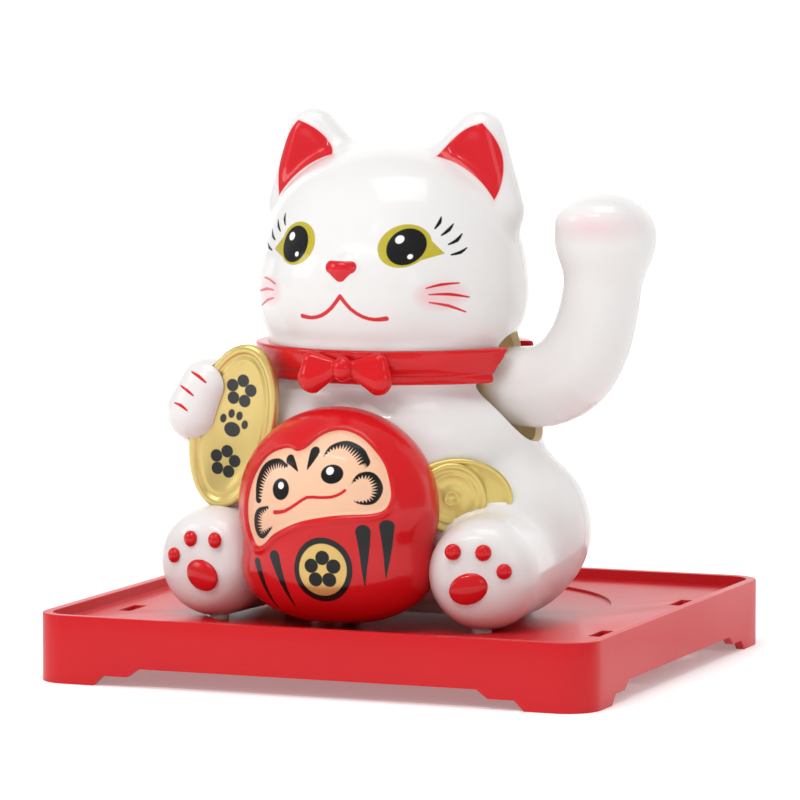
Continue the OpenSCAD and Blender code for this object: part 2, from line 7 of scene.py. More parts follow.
# %% Load the frame
import json
import math
import bmesh
import bpy
import numpy as np
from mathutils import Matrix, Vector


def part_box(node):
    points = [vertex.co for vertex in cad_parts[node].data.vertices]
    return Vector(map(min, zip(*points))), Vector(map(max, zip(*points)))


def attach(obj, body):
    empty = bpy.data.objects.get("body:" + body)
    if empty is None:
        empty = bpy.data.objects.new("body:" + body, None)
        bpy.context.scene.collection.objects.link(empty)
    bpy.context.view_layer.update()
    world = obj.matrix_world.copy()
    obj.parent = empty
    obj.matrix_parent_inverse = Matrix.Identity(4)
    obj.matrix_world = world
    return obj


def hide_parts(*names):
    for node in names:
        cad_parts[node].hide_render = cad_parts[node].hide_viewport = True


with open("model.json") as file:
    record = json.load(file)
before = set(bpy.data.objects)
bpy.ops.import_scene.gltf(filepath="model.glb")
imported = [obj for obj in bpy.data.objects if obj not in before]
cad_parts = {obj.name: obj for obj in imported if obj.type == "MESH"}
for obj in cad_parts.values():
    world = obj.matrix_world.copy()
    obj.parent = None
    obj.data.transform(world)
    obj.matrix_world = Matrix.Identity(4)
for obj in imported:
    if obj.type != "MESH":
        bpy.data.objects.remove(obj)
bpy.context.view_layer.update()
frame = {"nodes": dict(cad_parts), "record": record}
MM = 0.001

# %% [markdown]
# The places of the main pieces come from the frame, so that every new surface lands on its part.
# All modelling below is in millimetres, measured from the point under the cat's middle.

# %% Landmarks
CAT, ARM, COVER = "cat_and_tray", "arm_and_pendulum", "rear_battery_cover"
joint_of = {j["name"]: j for j in frame["record"]["behaviour"]["joints"]}


def box_of(node):
    """The two corners of a part's box, in millimetres."""
    return [np.array(corner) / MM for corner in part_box(node)]


axis_at = np.array(joint_of["arm_swing"]["pos_m"]) / MM
shell_low, _ = box_of("front_shell")
peg_low, peg_high = box_of("foot_pegs")
middle_x = (peg_low[0] + peg_high[0]) / 2
ORIGIN = np.array([middle_x, 0.0, shell_low[2]])
AXIS = axis_at - ORIGIN
print("underside of the cat at z =", ORIGIN[2], "mm, shaft", AXIS[2], "mm above it")

# %% [markdown]
# ## Soft shapes
# A figurine is modelled as clay is: balls and rolls pressed together. Each ball is a distance
# function, and a smooth minimum of two distances makes the fillet where they meet. A surface net
# then turns the zero level of the whole function into a closed quad mesh.

# %% Distance functions
def ball(p, at, radii):
    q = p - np.array(at)
    radii = np.array(radii, dtype=float)
    k0 = np.linalg.norm(q / radii, axis=1)
    k1 = np.linalg.norm(q / radii ** 2, axis=1)
    return k0 * (k0 - 1) / np.maximum(k1, 1e-9)


def roll(p, a, b, ra, rb, squash=(1, 1, 1)):
    """A roll of clay from a to b, with its own radius at each end."""
    s = np.array(squash, dtype=float)
    a, b, p = np.array(a) * s, np.array(b) * s, p * s
    along = b - a
    t = np.clip((p - a) @ along / (along @ along), 0, 1)
    return np.linalg.norm(p - a - t[:, None] * along, axis=1) - (ra + (rb - ra) * t)


def press(a, b, soft):
    """Two shapes pressed together, with a fillet about as wide as soft."""
    h = np.clip(0.5 + 0.5 * (b - a) / soft, 0, 1)
    return b + (a - b) * h - soft * h * (1 - h)


def carve(a, b, soft):
    """Shape a with shape b carved out of it."""
    return -press(-a, b, soft)


def meet(a, b, soft):
    """What two shapes share, with its edges rounded."""
    return -press(-a, -b, soft)


def slab(p, corners, radius):
    """A rounded triangular plate: the distance to a triangle, less a radius."""
    a, b, c = (np.array(v, dtype=float) for v in corners)
    normal = np.cross(b - a, c - a)
    normal /= np.linalg.norm(normal)
    height = (p - a) @ normal
    inside = np.ones(len(p), dtype=bool)
    edge = np.full(len(p), 1e9)
    for u, v in ((a, b), (b, c), (c, a)):
        side = np.cross(normal, v - u)
        inside &= (p - u) @ side >= 0
        t = np.clip((p - u) @ (v - u) / ((v - u) @ (v - u)), 0, 1)
        edge = np.minimum(edge, np.linalg.norm(p - u - t[:, None] * (v - u), axis=1))
    return np.where(inside, np.abs(height), edge) - radius


# %% Surface net
def gradient(f, p, eps=0.02):
    base = f(p)
    return base, np.stack([(f(p + eps * np.eye(3)[i]) - base) / eps for i in range(3)], axis=1)


def skin(f, low, high, step, rounds=3):
    """Vertices and quads of the zero level of f inside a box, evened out and drawn onto the level."""
    axes = [np.arange(a, b + step, step) for a, b in zip(low, high)]
    shape = tuple(len(a) for a in axes)
    values = np.empty(shape)
    for i, x in enumerate(axes[0]):
        grid = np.stack(np.meshgrid([x], axes[1], axes[2], indexing="ij"), -1).reshape(-1, 3)
        values[i] = f(grid).reshape(shape[1:])
    inside = values < 0
    cells = tuple(n - 1 for n in shape)
    total = np.zeros(cells + (3,))
    count = np.zeros(cells)
    crossings = []
    for k in range(3):
        near = tuple(slice(0, -1) if i == k else slice(None) for i in range(3))
        far = tuple(slice(1, None) if i == k else slice(None) for i in range(3))
        hit = np.argwhere(inside[near] != inside[far])
        hit = hit[np.all([(hit[:, i] > 0) & (hit[:, i] < shape[i] - 1) for i in range(3) if i != k], axis=0)]
        step_k = np.eye(3, dtype=int)[k]
        v0, v1 = values[tuple(hit.T)], values[tuple((hit + step_k).T)]
        place = hit + (v0 / (v0 - v1))[:, None] * step_k
        u, w = np.eye(3, dtype=int)[(k + 1) % 3], np.eye(3, dtype=int)[(k + 2) % 3]
        ring = [hit - u - w, hit - w, hit, hit - u]
        for c in ring:
            np.add.at(total, tuple(c.T), place)
            np.add.at(count, tuple(c.T), 1)
        crossings.append((ring, v0 < 0))
    used = count > 0
    index = np.full(cells, -1)
    index[used] = np.arange(used.sum())
    verts = total[used] / count[used][:, None] * step + np.array(low)
    quads = []
    for ring, outward in crossings:
        q = np.stack([index[tuple(c.T)] for c in ring], axis=1)
        quads.append(np.where(outward[:, None], q, q[:, ::-1]))
    quads = np.concatenate(quads)
    edges = np.concatenate([quads[:, [i, (i + 1) % 4]] for i in range(4)])
    degree = np.bincount(edges.ravel(), minlength=len(verts))
    for _ in range(rounds):
        mean = np.stack([np.bincount(edges[:, 0], verts[edges[:, 1], i], len(verts))
                         + np.bincount(edges[:, 1], verts[edges[:, 0], i], len(verts))
                         for i in range(3)], axis=1) / degree[:, None]
        verts = verts * 0.5 + mean * 0.5
        for _ in range(2):
            value, slope = gradient(f, verts)
            size = np.maximum((slope ** 2).sum(axis=1), 0.2)
            verts = verts - np.clip(value / size, -step, step)[:, None] * slope
    return verts, quads


# %% [markdown]
# Meshes are kept in metres in the frame's own space, with the object at the origin. A cut is a
# boolean with a closed cutter, applied at once so that no modifier is left on a finished piece.

# %% Mesh helpers
def new_object(name, verts, faces, smooth=True):
    mesh = bpy.data.meshes.new(name)
    mesh.from_pydata((np.asarray(verts) * MM).tolist(), [], [list(map(int, f)) for f in faces])
    mesh.update()
    if smooth:
        mesh.shade_smooth()
    obj = bpy.data.objects.new(name, mesh)
    bpy.context.scene.collection.objects.link(obj)
    return obj


def clay(name, f, low, high, step, rounds=3):
    """A closed mesh of the zero level of f, which is in the cat's own millimetres."""
    verts, quads = skin(f, low, high, step, rounds)
    return new_object(name, verts + ORIGIN, quads)


def bake(obj):
    """Turns an object's modifiers into plain mesh."""
    graph = bpy.context.evaluated_depsgraph_get()
    mesh = bpy.data.meshes.new_from_object(obj.evaluated_get(graph))
    old = obj.data
    obj.modifiers.clear()
    obj.data = mesh
    bpy.data.meshes.remove(old)
    mesh.name = obj.name
    return obj


def cut(obj, cutter, how="DIFFERENCE"):
    """Cuts a mesh with a closed cutter, which is used up."""
    m = obj.modifiers.new("cut", "BOOLEAN")
    m.operation, m.object, m.solver = how, cutter, "MANIFOLD"
    bake(obj)
    bpy.data.objects.remove(cutter)
    return obj


def block(low, high):
    (x0, y0, z0), (x1, y1, z1) = low, high
    corners = [(x, y, z) for x in (x0, x1) for y in (y0, y1) for z in (z0, z1)]
    faces = [(0, 1, 3, 2), (4, 6, 7, 5), (0, 4, 5, 1), (2, 3, 7, 6), (0, 2, 6, 4), (1, 5, 7, 3)]
    return new_object("block", corners, faces, smooth=False)


def crisp(obj, degrees=35):
    obj.data.shade_smooth()
    obj.data.set_sharp_from_angle(angle=math.radians(degrees))
    return obj


def copy_of(obj, name):
    twin = obj.copy()
    twin.data = obj.data.copy()
    twin.name = twin.data.name = name
    bpy.context.scene.collection.objects.link(twin)
    return twin


def shrunk(obj, by):
    """A copy drawn in along its normals, so that what it trims still sinks a little into the skin."""
    twin = copy_of(obj, "cutter")
    n = len(twin.data.vertices)
    at, out = np.zeros(n * 3), np.zeros(n * 3)
    twin.data.vertices.foreach_get("co", at)
    twin.data.vertices.foreach_get("normal", out)
    twin.data.vertices.foreach_set("co", at - out * by * MM)
    twin.data.update()
    return twin


# %% [markdown]
# ## Camera, light and floor
# A long lens from the front left of the cat, a little above the tray. Large soft lights give the
# broad sheen and the narrow bright streaks that a glossy moulding shows.

# %% Camera
VIEW_AZIMUTH = math.radians(21.7)
VIEW_RISE = math.radians(5.5)
VIEW_DISTANCE = 1.366
aim = np.array([-0.00196 * math.cos(VIEW_AZIMUTH), -0.00196 * math.sin(VIEW_AZIMUTH), 0.0682])
back = np.array([math.sin(VIEW_AZIMUTH) * math.cos(VIEW_RISE), -math.cos(VIEW_AZIMUTH) * math.cos(VIEW_RISE),
                 math.sin(VIEW_RISE)])
camera = bpy.data.objects.new("camera", bpy.data.cameras.new("camera"))
bpy.context.scene.collection.objects.link(camera)
camera.location = aim + back * VIEW_DISTANCE
camera.rotation_euler = (math.pi / 2 - VIEW_RISE, 0, VIEW_AZIMUTH)
camera.data.sensor_width = 36
camera.data.lens = 237.3
bpy.context.scene.camera = camera


# %% Lights and floor
LIT_POINT = np.array([0, 0, 0.07])


def lamp(name, at, size, power, size_y=None):
    """A soft area lamp turned towards the middle of the cat."""
    data = bpy.data.lights.new(name, "AREA")
    data.energy, data.size = power, size
    if size_y:
        data.shape, data.size_y = "RECTANGLE", size_y
    obj = bpy.data.objects.new(name, data)
    bpy.context.scene.collection.objects.link(obj)
    obj.location = at
    direction = LIT_POINT - np.array(at)
    yaw = math.atan2(direction[1], direction[0]) - math.pi / 2
    pitch = math.atan2(direction[2], math.hypot(direction[0], direction[1])) + math.pi / 2
    obj.rotation_euler = (pitch, 0, yaw)
    return obj


lamp("overhead", (0.1, -0.2, 1.1), 0.6, 4.6)
lamp("left", (-0.95, -0.55, 0.5), 0.4, 2.2)
lamp("right", (0.9, -0.9, 0.45), 0.4, 1.0)
lamp("strip", (-0.12, -0.6, 0.7), 0.4, 2.0, size_y=0.03)
world = bpy.data.worlds.new("studio")
world.use_nodes = True
world.node_tree.nodes["Background"].inputs["Color"].default_value = (1.0, 1.0, 1.0, 1)
world.node_tree.nodes["Background"].inputs["Strength"].default_value = 0.42
bpy.context.scene.world = world
bpy.context.scene.view_settings.view_transform = "Standard"

# The floor sweeps up into a wall, so that no horizon shows.
bend = [(math.sin(t) * 800, 800 - math.cos(t) * 800) for t in np.linspace(0, math.pi / 2, 13)]
sweep = [(-2500.0, 0.0)] + [(1200 + y, z) for y, z in bend] + [(2000.0, 3000.0)]
verts = [(x, y, z) for y, z in sweep for x in (-3000, 3000)]
floor = new_object("floor", verts, [(2 * i, 2 * i + 1, 2 * i + 3, 2 * i + 2) for i in range(len(sweep) - 1)])

# %% [markdown]
# ## Materials
# Shader maths reads best as arithmetic, so a small class wraps a socket and gives it Python's
# operators. Any other node is one call that takes its type, its settings and its inputs.

# %% Sockets that can be added and multiplied
class Wire:
    def __init__(self, tree, socket):
        self.tree, self.socket = tree, socket

    def node(self, kind, settings=None, inputs=None, out=0):
        made = self.tree.nodes.new(kind)
        for key, value in (settings or {}).items():
            setattr(made, key, value)
        for key, value in (inputs or {}).items():
            if isinstance(value, Wire):
                self.tree.links.new(value.socket, made.inputs[key])
            else:
                made.inputs[key].default_value = value
        return Wire(self.tree, made.outputs[out])

    def math(self, operation, *values):
        return self.node("ShaderNodeMath", {"operation": operation}, dict(enumerate(values)))

    def __add__(self, other): return self.math("ADD", self, other)
    def __radd__(self, other): return self.math("ADD", other, self)
    def __sub__(self, other): return self.math("SUBTRACT", self, other)
    def __rsub__(self, other): return self.math("SUBTRACT", other, self)
    def __mul__(self, other): return self.math("MULTIPLY", self, other)
    def __rmul__(self, other): return self.math("MULTIPLY", other, self)
    def __abs__(self): return self.math("ABSOLUTE", self)
    def least(self, other): return self.math("MINIMUM", self, other)
    def most(self, other): return self.math("MAXIMUM", self, other)
    def root(self): return self.math("SQRT", self)

    def split(self):
        parts = self.tree.nodes.new("ShaderNodeSeparateXYZ")
        self.tree.links.new(self.socket, parts.inputs[0])
        return [Wire(self.tree, out) for out in parts.outputs]

    def clamp(self):
        return self.node("ShaderNodeClamp", {}, {"Value": self})

    def length(self, other):
        return (self * self + other * other).root()

    def tint(self, under, over):
        """Colour over where this mask is 1, colour under where it is 0."""
        return self.node("ShaderNodeMix", {"data_type": "RGBA"}, {"Factor": self, 6: under, 7: over}, out=2)


def rgb(r, g, b):
    return (r, g, b, 1.0)


def material(name):
    """A new material: its shader node and a wire to start expressions from."""
    mat = bpy.data.materials.new(name)
    mat.use_nodes = True
    shader = mat.node_tree.nodes["Principled BSDF"]
    return mat, shader, Wire(mat.node_tree, None)


def wear(w, scale, detail=3):
    """Soft noise on the piece itself, 0 to 1."""
    place = w.node("ShaderNodeTexCoord", out=3)
    return w.node("ShaderNodeTexNoise", {}, {"Vector": place, "Scale": scale, "Detail": detail})


def feed(shader, **sockets):
    """Sets or links the shader's sockets; an underscore stands for a space."""
    tree = shader.id_data
    for key, value in sockets.items():
        socket = shader.inputs[key.replace("_", " ")]
        if isinstance(value, Wire):
            tree.links.new(value.socket, socket)
        else:
            socket.default_value = value


def bump(w, height, strength, distance):
    return w.node("ShaderNodeBump", {}, {"Height": height, "Strength": strength, "Distance": distance})


def gloss(name, color, rough=0.16, coat=0.3, ripple=0.03, metal=0.0, soft=0.0):
    """A moulded or painted gloss surface: faint ripple, uneven sheen and a thin clear coat."""
    mat, shader, w = material(name)
    broad, fine = wear(w, 60), wear(w, 900, 2)
    feed(shader, Base_Color=(broad * 0.6).tint(rgb(*color), rgb(*(c * 0.93 for c in color))),
         Roughness=rough + 0.08 * broad, Metallic=metal, Coat_Weight=coat, Coat_Roughness=0.05,
         Specular_IOR_Level=0.15, Normal=bump(w, broad + 0.15 * fine, ripple, 0.002))
    if soft:
        feed(shader, Subsurface_Weight=soft, Subsurface_Radius=(1.0, 0.85, 0.7), Subsurface_Scale=0.004)
    return mat


WHITE = (0.75, 0.735, 0.725)
RED = (0.62, 0.008, 0.012)
GOLD = (0.68, 0.53, 0.17)
white_gloss = gloss("white_shell_plastic", WHITE, soft=0.25)
red_gloss = gloss("red_gloss_paint", RED, rough=0.2)
gold_paint = gloss("gold_paint", GOLD, rough=0.34, coat=0.2, metal=0.75)


def floor_material():
    mat, shader, w = material("pale_floor")
    x, y, _ = w.node("ShaderNodeTexCoord", out=3).split()
    far = (x.length(y) * 2.2 - 0.4).clamp()
    feed(shader, Base_Color=(wear(w, 3) * 0.3).tint(rgb(0.93, 0.93, 0.93), rgb(0.90, 0.90, 0.90)),
         Roughness=0.7, Specular_IOR_Level=0.1,
         Emission_Color=far.tint(rgb(0.22, 0.22, 0.22), rgb(0.7, 0.7, 0.7)),
         Emission_Strength=1.0)
    return mat


floor.data.materials.append(floor_material())


def finish(obj, mat, body, slot, *nodes):
    """Gives a finished piece its material and its body, and hides the parts it stands for. The slot is not
    used.
    """
    obj.data.materials.clear()
    obj.data.materials.append(mat)
    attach(obj, body)
    if nodes:
        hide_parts(*nodes)
    print(f"{obj.name}: {len(obj.data.polygons)} faces")
    return obj


# %% [markdown]
# ## The cat's head and body
# One function holds the whole cat: cheeks and crown, ears, muzzle, throat, chest, seat, haunches and
# hind feet. Modelling both shells from one function keeps them flush along their parting line.

# %% The cat's form
def ear(p, side):
    q = p * np.array([side, 1, 1])
    plate = slab(q * np.array([1, 1.15, 1]), [(23.0, -3.4, 120.8), (28.6, -4.2, 102), (13.5, -4.2, 111)], 6.6)
    hollow = slab(q, [(23.2, -12.6, 120), (29.0, -13.6, 101), (14.5, -13.6, 110.5)], 4.2)
    return carve(plate, hollow, 1.6)


def head(p):
    f = press(ball(p, (0, -5.5, 78.5), (35.2, 33, 21.5)), ball(p, (0, -4.5, 93), (33, 30.5, 26)), 10)
    f = press(f, ball(p, (0, -29.5, 84), (19, 9.6, 12)), 9)
    f = press(f, ball(p, (0, -39.6, 88.6), (3.6, 2.6, 2.6)), 2)
    for side in (-1, 1):
        f = press(f, ear(p, side), 4)
    return f


def sole(p, side):
    """Half of space behind the flat sole of a hind foot, which is turned out a little."""
    return (p - np.array([side * 39.2, -44.7, 0])) @ np.array([side * 0.225, -0.974, 0])


def torso(p):
    f = press(ball(p, (0, -4, 66), (32.6, 32.4, 14)), ball(p, (0, -3, 44), (38.5, 34, 22)), 6)
    f = press(f, ball(p, (0, -3, 24), (43, 34.5, 24)), 10)
    f = press(f, ball(p, (0, -1, 9), (43, 33, 11)), 8)
    for side in (-1, 1):
        f = press(f, ball(p, (side * 31, -3, 20), (21, 25, 21.5)), 4)
        leg = roll(p, (side * 33, -8, 14), (side * 36.8, -34.5, 12.4), 15.5, 14.3)
        f = press(f, meet(leg, sole(p, side), 4), 3.5)
    return f


def cat(p):
    return press(head(p), torso(p), 2.2)


STEP = 0.9
outer = clay("outer", cat, (-62, -54, -6), (62, 38, 132), STEP)
print("cat surface:", len(outer.data.vertices), "vertices")

# %% [markdown]
# ## Cutters
# A moulding is trimmed by simple closed shapes: an outline drawn across one axis and pulled along it.

# %% Outlines and prisms
def circle(at, radii, count=96):
    turn = np.arange(count) * 2 * math.pi / count
    return np.stack([np.cos(turn), np.sin(turn)], 1) * radii + np.array(at)


def rounded(at, size, r, count=10):
    """The outline of a rectangle with round corners."""
    quarter = np.linspace(0, math.pi / 2, count)
    ring = []
    for k, (sx, sy) in enumerate(((1, 1), (-1, 1), (-1, -1), (1, -1))):
        middle = np.array(at) + np.array([sx * (size[0] / 2 - r), sy * (size[1] / 2 - r)])
        turn = quarter + k * math.pi / 2
        ring.append(middle + r * np.stack([np.cos(turn), np.sin(turn)], 1))
    return np.concatenate(ring)


def outward(obj):
    """Turns every face of a closed mesh outwards."""
    bm = bmesh.new()
    bm.from_mesh(obj.data)
    bmesh.ops.recalc_face_normals(bm, faces=bm.faces)
    bm.to_mesh(obj.data)
    bm.free()
    return obj


def prism(outline, low, high, axis=2):
    """A closed block with the outline given, from low to high along an axis."""
    n = len(outline)
    verts = np.concatenate([np.insert(outline, axis, h, axis=1) for h in (low, high)])
    sides = [(i, (i + 1) % n, n + (i + 1) % n, n + i) for i in range(n)]
    return outward(new_object("prism", verts, [range(n), range(n, 2 * n)] + sides, smooth=False))


# %% [markdown]
# ## Two shells
# The real body is two thin mouldings glued along the shoulders. The inside is the same form, drawn in
# by the wall. The openings come next: the shoulder, the base plate, the battery door and the switch.

# %% Hollow body
WALL, SEAM, RIM_DROP = 1.8, 0.07, 1.9
SHOULDER_R, SHOULDER_X = 14, 26
PLATE_OPENING, PLATE_CORNER = (62.3, 44.3), 8
SLOT_GAP = 0.3
body = copy_of(outer, "body")
cut(body, clay("inside", lambda p: cat(p) + WALL, (-60, -50, -4), (60, 36, 130), 2 * STEP, 2))
cut(body, prism(circle((axis_at[1], axis_at[2]), SHOULDER_R), ORIGIN[0] + SHOULDER_X, ORIGIN[0] + 80, axis=0))
plate_low, plate_high = box_of("base_plate")
plate_middle = (plate_low + plate_high)[:2] / 2
cut(body, prism(rounded(plate_middle, PLATE_OPENING, PLATE_CORNER), -5, ORIGIN[2] + 2.4))
cut(body, block((-90, -90, -5), (90, 90, ORIGIN[2] - RIM_DROP)))
knob_low, knob_high = box_of("switch_knob")
travel = joint_of["switch_slide"]["range_m"][1] / MM
cut(body, block((knob_low[0] - SLOT_GAP, 10, knob_low[2] - SLOT_GAP),
                (knob_high[0] + travel + SLOT_GAP, 50, knob_high[2] + SLOT_GAP)))

# %% Parting the shells
seam_y = axis_at[1]
door_low, door_high = box_of("battery_cover")
GAP = 0.35
front = cut(copy_of(body, "front_shell_skin"), block((-90, -90, 0), (90, seam_y - SEAM, 200)), "INTERSECT")
door = cut(copy_of(body, "battery_door"),
           block((door_low[0], 10, door_low[2]), (door_high[0], 60, door_high[2])),
           "INTERSECT")
rear = cut(body, block((-90, seam_y + SEAM, 0), (90, 90, 200)), "INTERSECT")
rear.name = rear.data.name = "rear_shell_skin"
cut(rear, block((door_low[0] - GAP, 10, door_low[2] - GAP), (door_high[0] + GAP, 60, door_high[2] + GAP)))
for piece in (front, rear, door):
    crisp(piece, 40)
print("shell faces:", len(front.data.polygons), len(rear.data.polygons))

# %% [markdown]
# ## Thumb grips on the battery door
# The door has a row of fine ribs for the thumb. A rib repeats at a pitch and follows the curved wall, so
# it is a job for Geometry Nodes: rows of points are thrown onto the door, joined and given a round wire.

# %% Node trees with named inputs
def new_tree(name, floats, objects=()):
    """A geometry tree with named inputs; returns it with its inputs' sockets."""
    tree = bpy.data.node_groups.new(name, "GeometryNodeTree")
    tree.interface.new_socket("Geometry", in_out="OUTPUT", socket_type="NodeSocketGeometry")
    sockets = [("Geometry", "Geometry"), *((key, "Float") for key in floats),
               *((key, "Object") for key in objects), ("Finish", "Material")]
    for key, kind in sockets:
        tree.interface.new_socket(key, in_out="INPUT", socket_type="NodeSocket" + kind)
    return tree, tree.nodes.new("NodeGroupInput").outputs


def geo(tree, kind, inputs):
    """One geometry node. An input may be a value, a socket, or a node, whose first output is meant."""
    made = tree.nodes.new(kind)
    for key, value in inputs.items():
        if isinstance(value, bpy.types.Node):
            value = value.outputs[0]
        if isinstance(value, bpy.types.NodeSocket):
            tree.links.new(value, made.inputs[key])
        else:
            made.inputs[key].default_value = value
    return made


def wired(tree, given, path, sides):
    """Ends a tree: a round wire along the path, made real and given its material."""
    wire = geo(tree, "GeometryNodeCurvePrimitiveCircle", {"Resolution": sides, "Radius": given["Wire"]})
    swept = geo(tree, "GeometryNodeCurveToMesh", {"Curve": path, "Profile Curve": wire, "Fill Caps": True})
    real = geo(tree, "GeometryNodeRealizeInstances", {"Geometry": swept})
    dressed = geo(tree, "GeometryNodeSetMaterial", {"Geometry": real, "Material": given["Finish"]})
    tree.links.new(dressed.outputs[0], tree.nodes.new("NodeGroupOutput").inputs[0])
    return tree


def grown(name, tree, values):
    """Runs a tree on an empty mesh, with its inputs set by identifier, and keeps the plain mesh."""
    obj = new_object(name, [], [], smooth=False)
    modifier = obj.modifiers.new("grow", "NODES")
    modifier.node_group = tree
    for item in tree.interface.items_tree:
        if item.in_out == "INPUT" and item.name in values:
            modifier[item.identifier] = values[item.name]
    return bake(obj)


# %% Ribs thrown onto the door
RIBS, RIB_POINTS, BEHIND = 7, 21, 0.06


def rib_tree():
    tree, given = new_tree("thumb_ribs", ("First Height", "Pitch", "Spacing", "Left", "Middle", "Wire"),
                           ("Wall",))
    start = geo(tree, "ShaderNodeCombineXYZ", {"X": given["Middle"], "Y": BEHIND, "Z": given["First Height"]})
    pitch = geo(tree, "ShaderNodeCombineXYZ", {"Z": given["Pitch"]})
    rows = geo(tree, "GeometryNodeMeshLine", {"Count": RIBS, "Start Location": start, "Offset": pitch})
    left = geo(tree, "ShaderNodeCombineXYZ", {"X": given["Left"]})
    spacing = geo(tree, "ShaderNodeCombineXYZ", {"X": given["Spacing"]})
    line = geo(tree, "GeometryNodeMeshLine", {"Count": RIB_POINTS, "Start Location": left, "Offset": spacing})
    many = geo(tree, "GeometryNodeInstanceOnPoints", {"Points": rows, "Instance": line})
    real = geo(tree, "GeometryNodeRealizeInstances", {"Geometry": many})
    wall = geo(tree, "GeometryNodeObjectInfo", {"Object": given["Wall"]}).outputs["Geometry"]
    hit = geo(tree, "GeometryNodeRaycast",
              {"Target Geometry": wall, "Ray Direction": (0, -1, 0), "Ray Length": 0.1})
    placed = geo(tree, "GeometryNodeSetPosition", {"Geometry": real, "Position": hit.outputs["Hit Position"]})
    return wired(tree, given, geo(tree, "GeometryNodeMeshToCurve", {"Mesh": placed}), 10)


RIB_HALF, RIB_PITCH, RIB_WIRE, RIB_TOP = 4.2, 1.5, 0.38, 15
ribs = grown("door_ribs", rib_tree(), {
    "Left": -RIB_HALF * MM, "Spacing": RIB_HALF * MM / 10, "First Height": (door_high[2] - RIB_TOP) * MM,
    "Pitch": RIB_PITCH * MM, "Wire": RIB_WIRE * MM, "Middle": (door_low[0] + door_high[0]) / 2 * MM,
    "Wall": door, "Finish": white_gloss})
crisp(ribs, 50)
print("rib faces:", len(ribs.data.polygons))

# %% [markdown]
# ## Painted lines and patches
# The paint on the figurine is pad-printed, so it follows the front view. Each mark is the distance to
# a stroke or an oval in the front plane, and a narrow ramp turns that distance into a crisp mask.

# %% Marks for the paint
def spot(w):
    """The shaded point in the cat's own millimetres: across, along and up."""
    at = w.node("ShaderNodeTexCoord", out=3).split()
    return [at[i] * (1 / MM) - float(ORIGIN[i]) for i in range(3)]


def inside_of(distance, edge=0.1):
    return (0.5 - distance * (0.5 / edge)).clamp()


def oval(x, z, at, radii):
    size = min(radii)
    return ((x - at[0]) * (size / radii[0])).length((z - at[1]) * (size / radii[1])) - size


def stroke(x, z, a, b, ra, rb):
    """A brush stroke from a to b, as wide as its two radii."""
    dx, dz = b[0] - a[0], b[1] - a[1]
    across, up = x - a[0], z - a[1]
    t = ((across * dx + up * dz) * (1 / (dx * dx + dz * dz))).clamp()
    return (across - t * dx).length(up - t * dz) - (t * (rb - ra) + ra)


def catmull(a, b, c, d, count):
    """Points of a Catmull-Rom curve from b up to c."""
    t = (np.arange(count) / count)[:, None]
    bent = (2 * a - 5 * b + 4 * c - d) * t ** 2 + (3 * b - a - 3 * c + d) * t ** 3
    return 0.5 * (2 * b + (c - a) * t + bent)


def smooth_line(knots, count):
    """An open smooth curve through the knots."""
    ends = np.array([2 * np.array(knots[0]) - knots[1], *knots, 2 * np.array(knots[-1]) - knots[-2]])
    parts = [catmull(*four, count) for four in zip(ends, ends[1:], ends[2:], ends[3:])]
    return np.concatenate(parts + [ends[-2:-1]])


def together(first, *others):
    """The union of several marks."""
    for other in others:
        first = first.least(other)
    return first


def brush(x, z, *knots):
    """A bent stroke through knots of (across, up, radius)."""
    line = smooth_line(knots, 2).tolist()
    return together(*[stroke(x, z, a[:2], b[:2], a[2], b[2]) for a, b in zip(line, line[1:])])


def arc_through(a, b, c):
    """Centre and radius of the circle through three points."""
    m = 2 * np.array([np.subtract(b, a), np.subtract(c, a)])
    rhs = np.array([np.dot(b, b) - np.dot(a, a), np.dot(c, c) - np.dot(a, a)])
    middle = np.linalg.solve(m, rhs)
    return [float(v) for v in middle], float(np.linalg.norm(middle - a))


# %% [markdown]
# ## The face
# Almond eyes in olive gold, lashes, a red nose and mouth, three whiskers on a pink blush, and red in
# the ears. The face is symmetrical apart from the eyes' highlights, so most marks use |x|.

# %% White grounds
def white_ground(name):
    """A white painted material: itself, its shader, a wire, the slow noise and the ground colour."""
    mat, shader, w = material(name)
    broad = wear(w, 60)
    feed(shader, Roughness=0.2 + 0.07 * broad, Coat_Weight=0.35, Coat_Roughness=0.04, Specular_IOR_Level=0.15,
         Subsurface_Weight=0.12, Subsurface_Radius=(1.0, 0.85, 0.7), Subsurface_Scale=0.003)
    return mat, shader, w, broad, (broad * 0.5).tint(rgb(*WHITE), rgb(*(c * 0.95 for c in WHITE)))


def brushes(x, z, marks):
    """Several bent strokes as one mark."""
    return together(*[brush(x, z, *knots) for knots in marks])


# %% Face paint
BLACK = (0.006, 0.006, 0.006)
PAINT_RED = (0.60, 0.012, 0.02)
OLIVE = (0.50, 0.42, 0.035)
BLUSH = (0.80, 0.30, 0.36)
SNOW = (0.9, 0.9, 0.9)
EYE = (15.1, 94.0)
LASHES = [((21.3, 101.2, 0.14), (21.2, 99.8, 0.42), (20.5, 98.4, 0.22)),
          ((24.0, 99.4, 0.14), (23.3, 97.9, 0.45), (22.1, 96.7, 0.22)),
          ((26.0, 96.9, 0.14), (25.2, 95.3, 0.45), (23.8, 94.4, 0.22)),
          ((27.3, 93.4, 0.14), (26.2, 92.3, 0.42), (24.6, 91.8, 0.22))]
WHISKERS = [((20.6, 83.7, 0.18), (23.4, 84.5, 0.36), (26.6, 84.7, 0.2)),
            ((21.2, 82.1, 0.18), (25.0, 82.0, 0.4), (28.6, 81.1, 0.2)),
            ((21.2, 80.1, 0.18), (24.8, 79.1, 0.38), (27.9, 77.4, 0.2))]
MOUTH = [(0, 81.6, 0.55), (2.6, 78.5, 0.5), (5.6, 76.5, 0.5), (8.6, 75.8, 0.5), (11.4, 76.1, 0.62)]


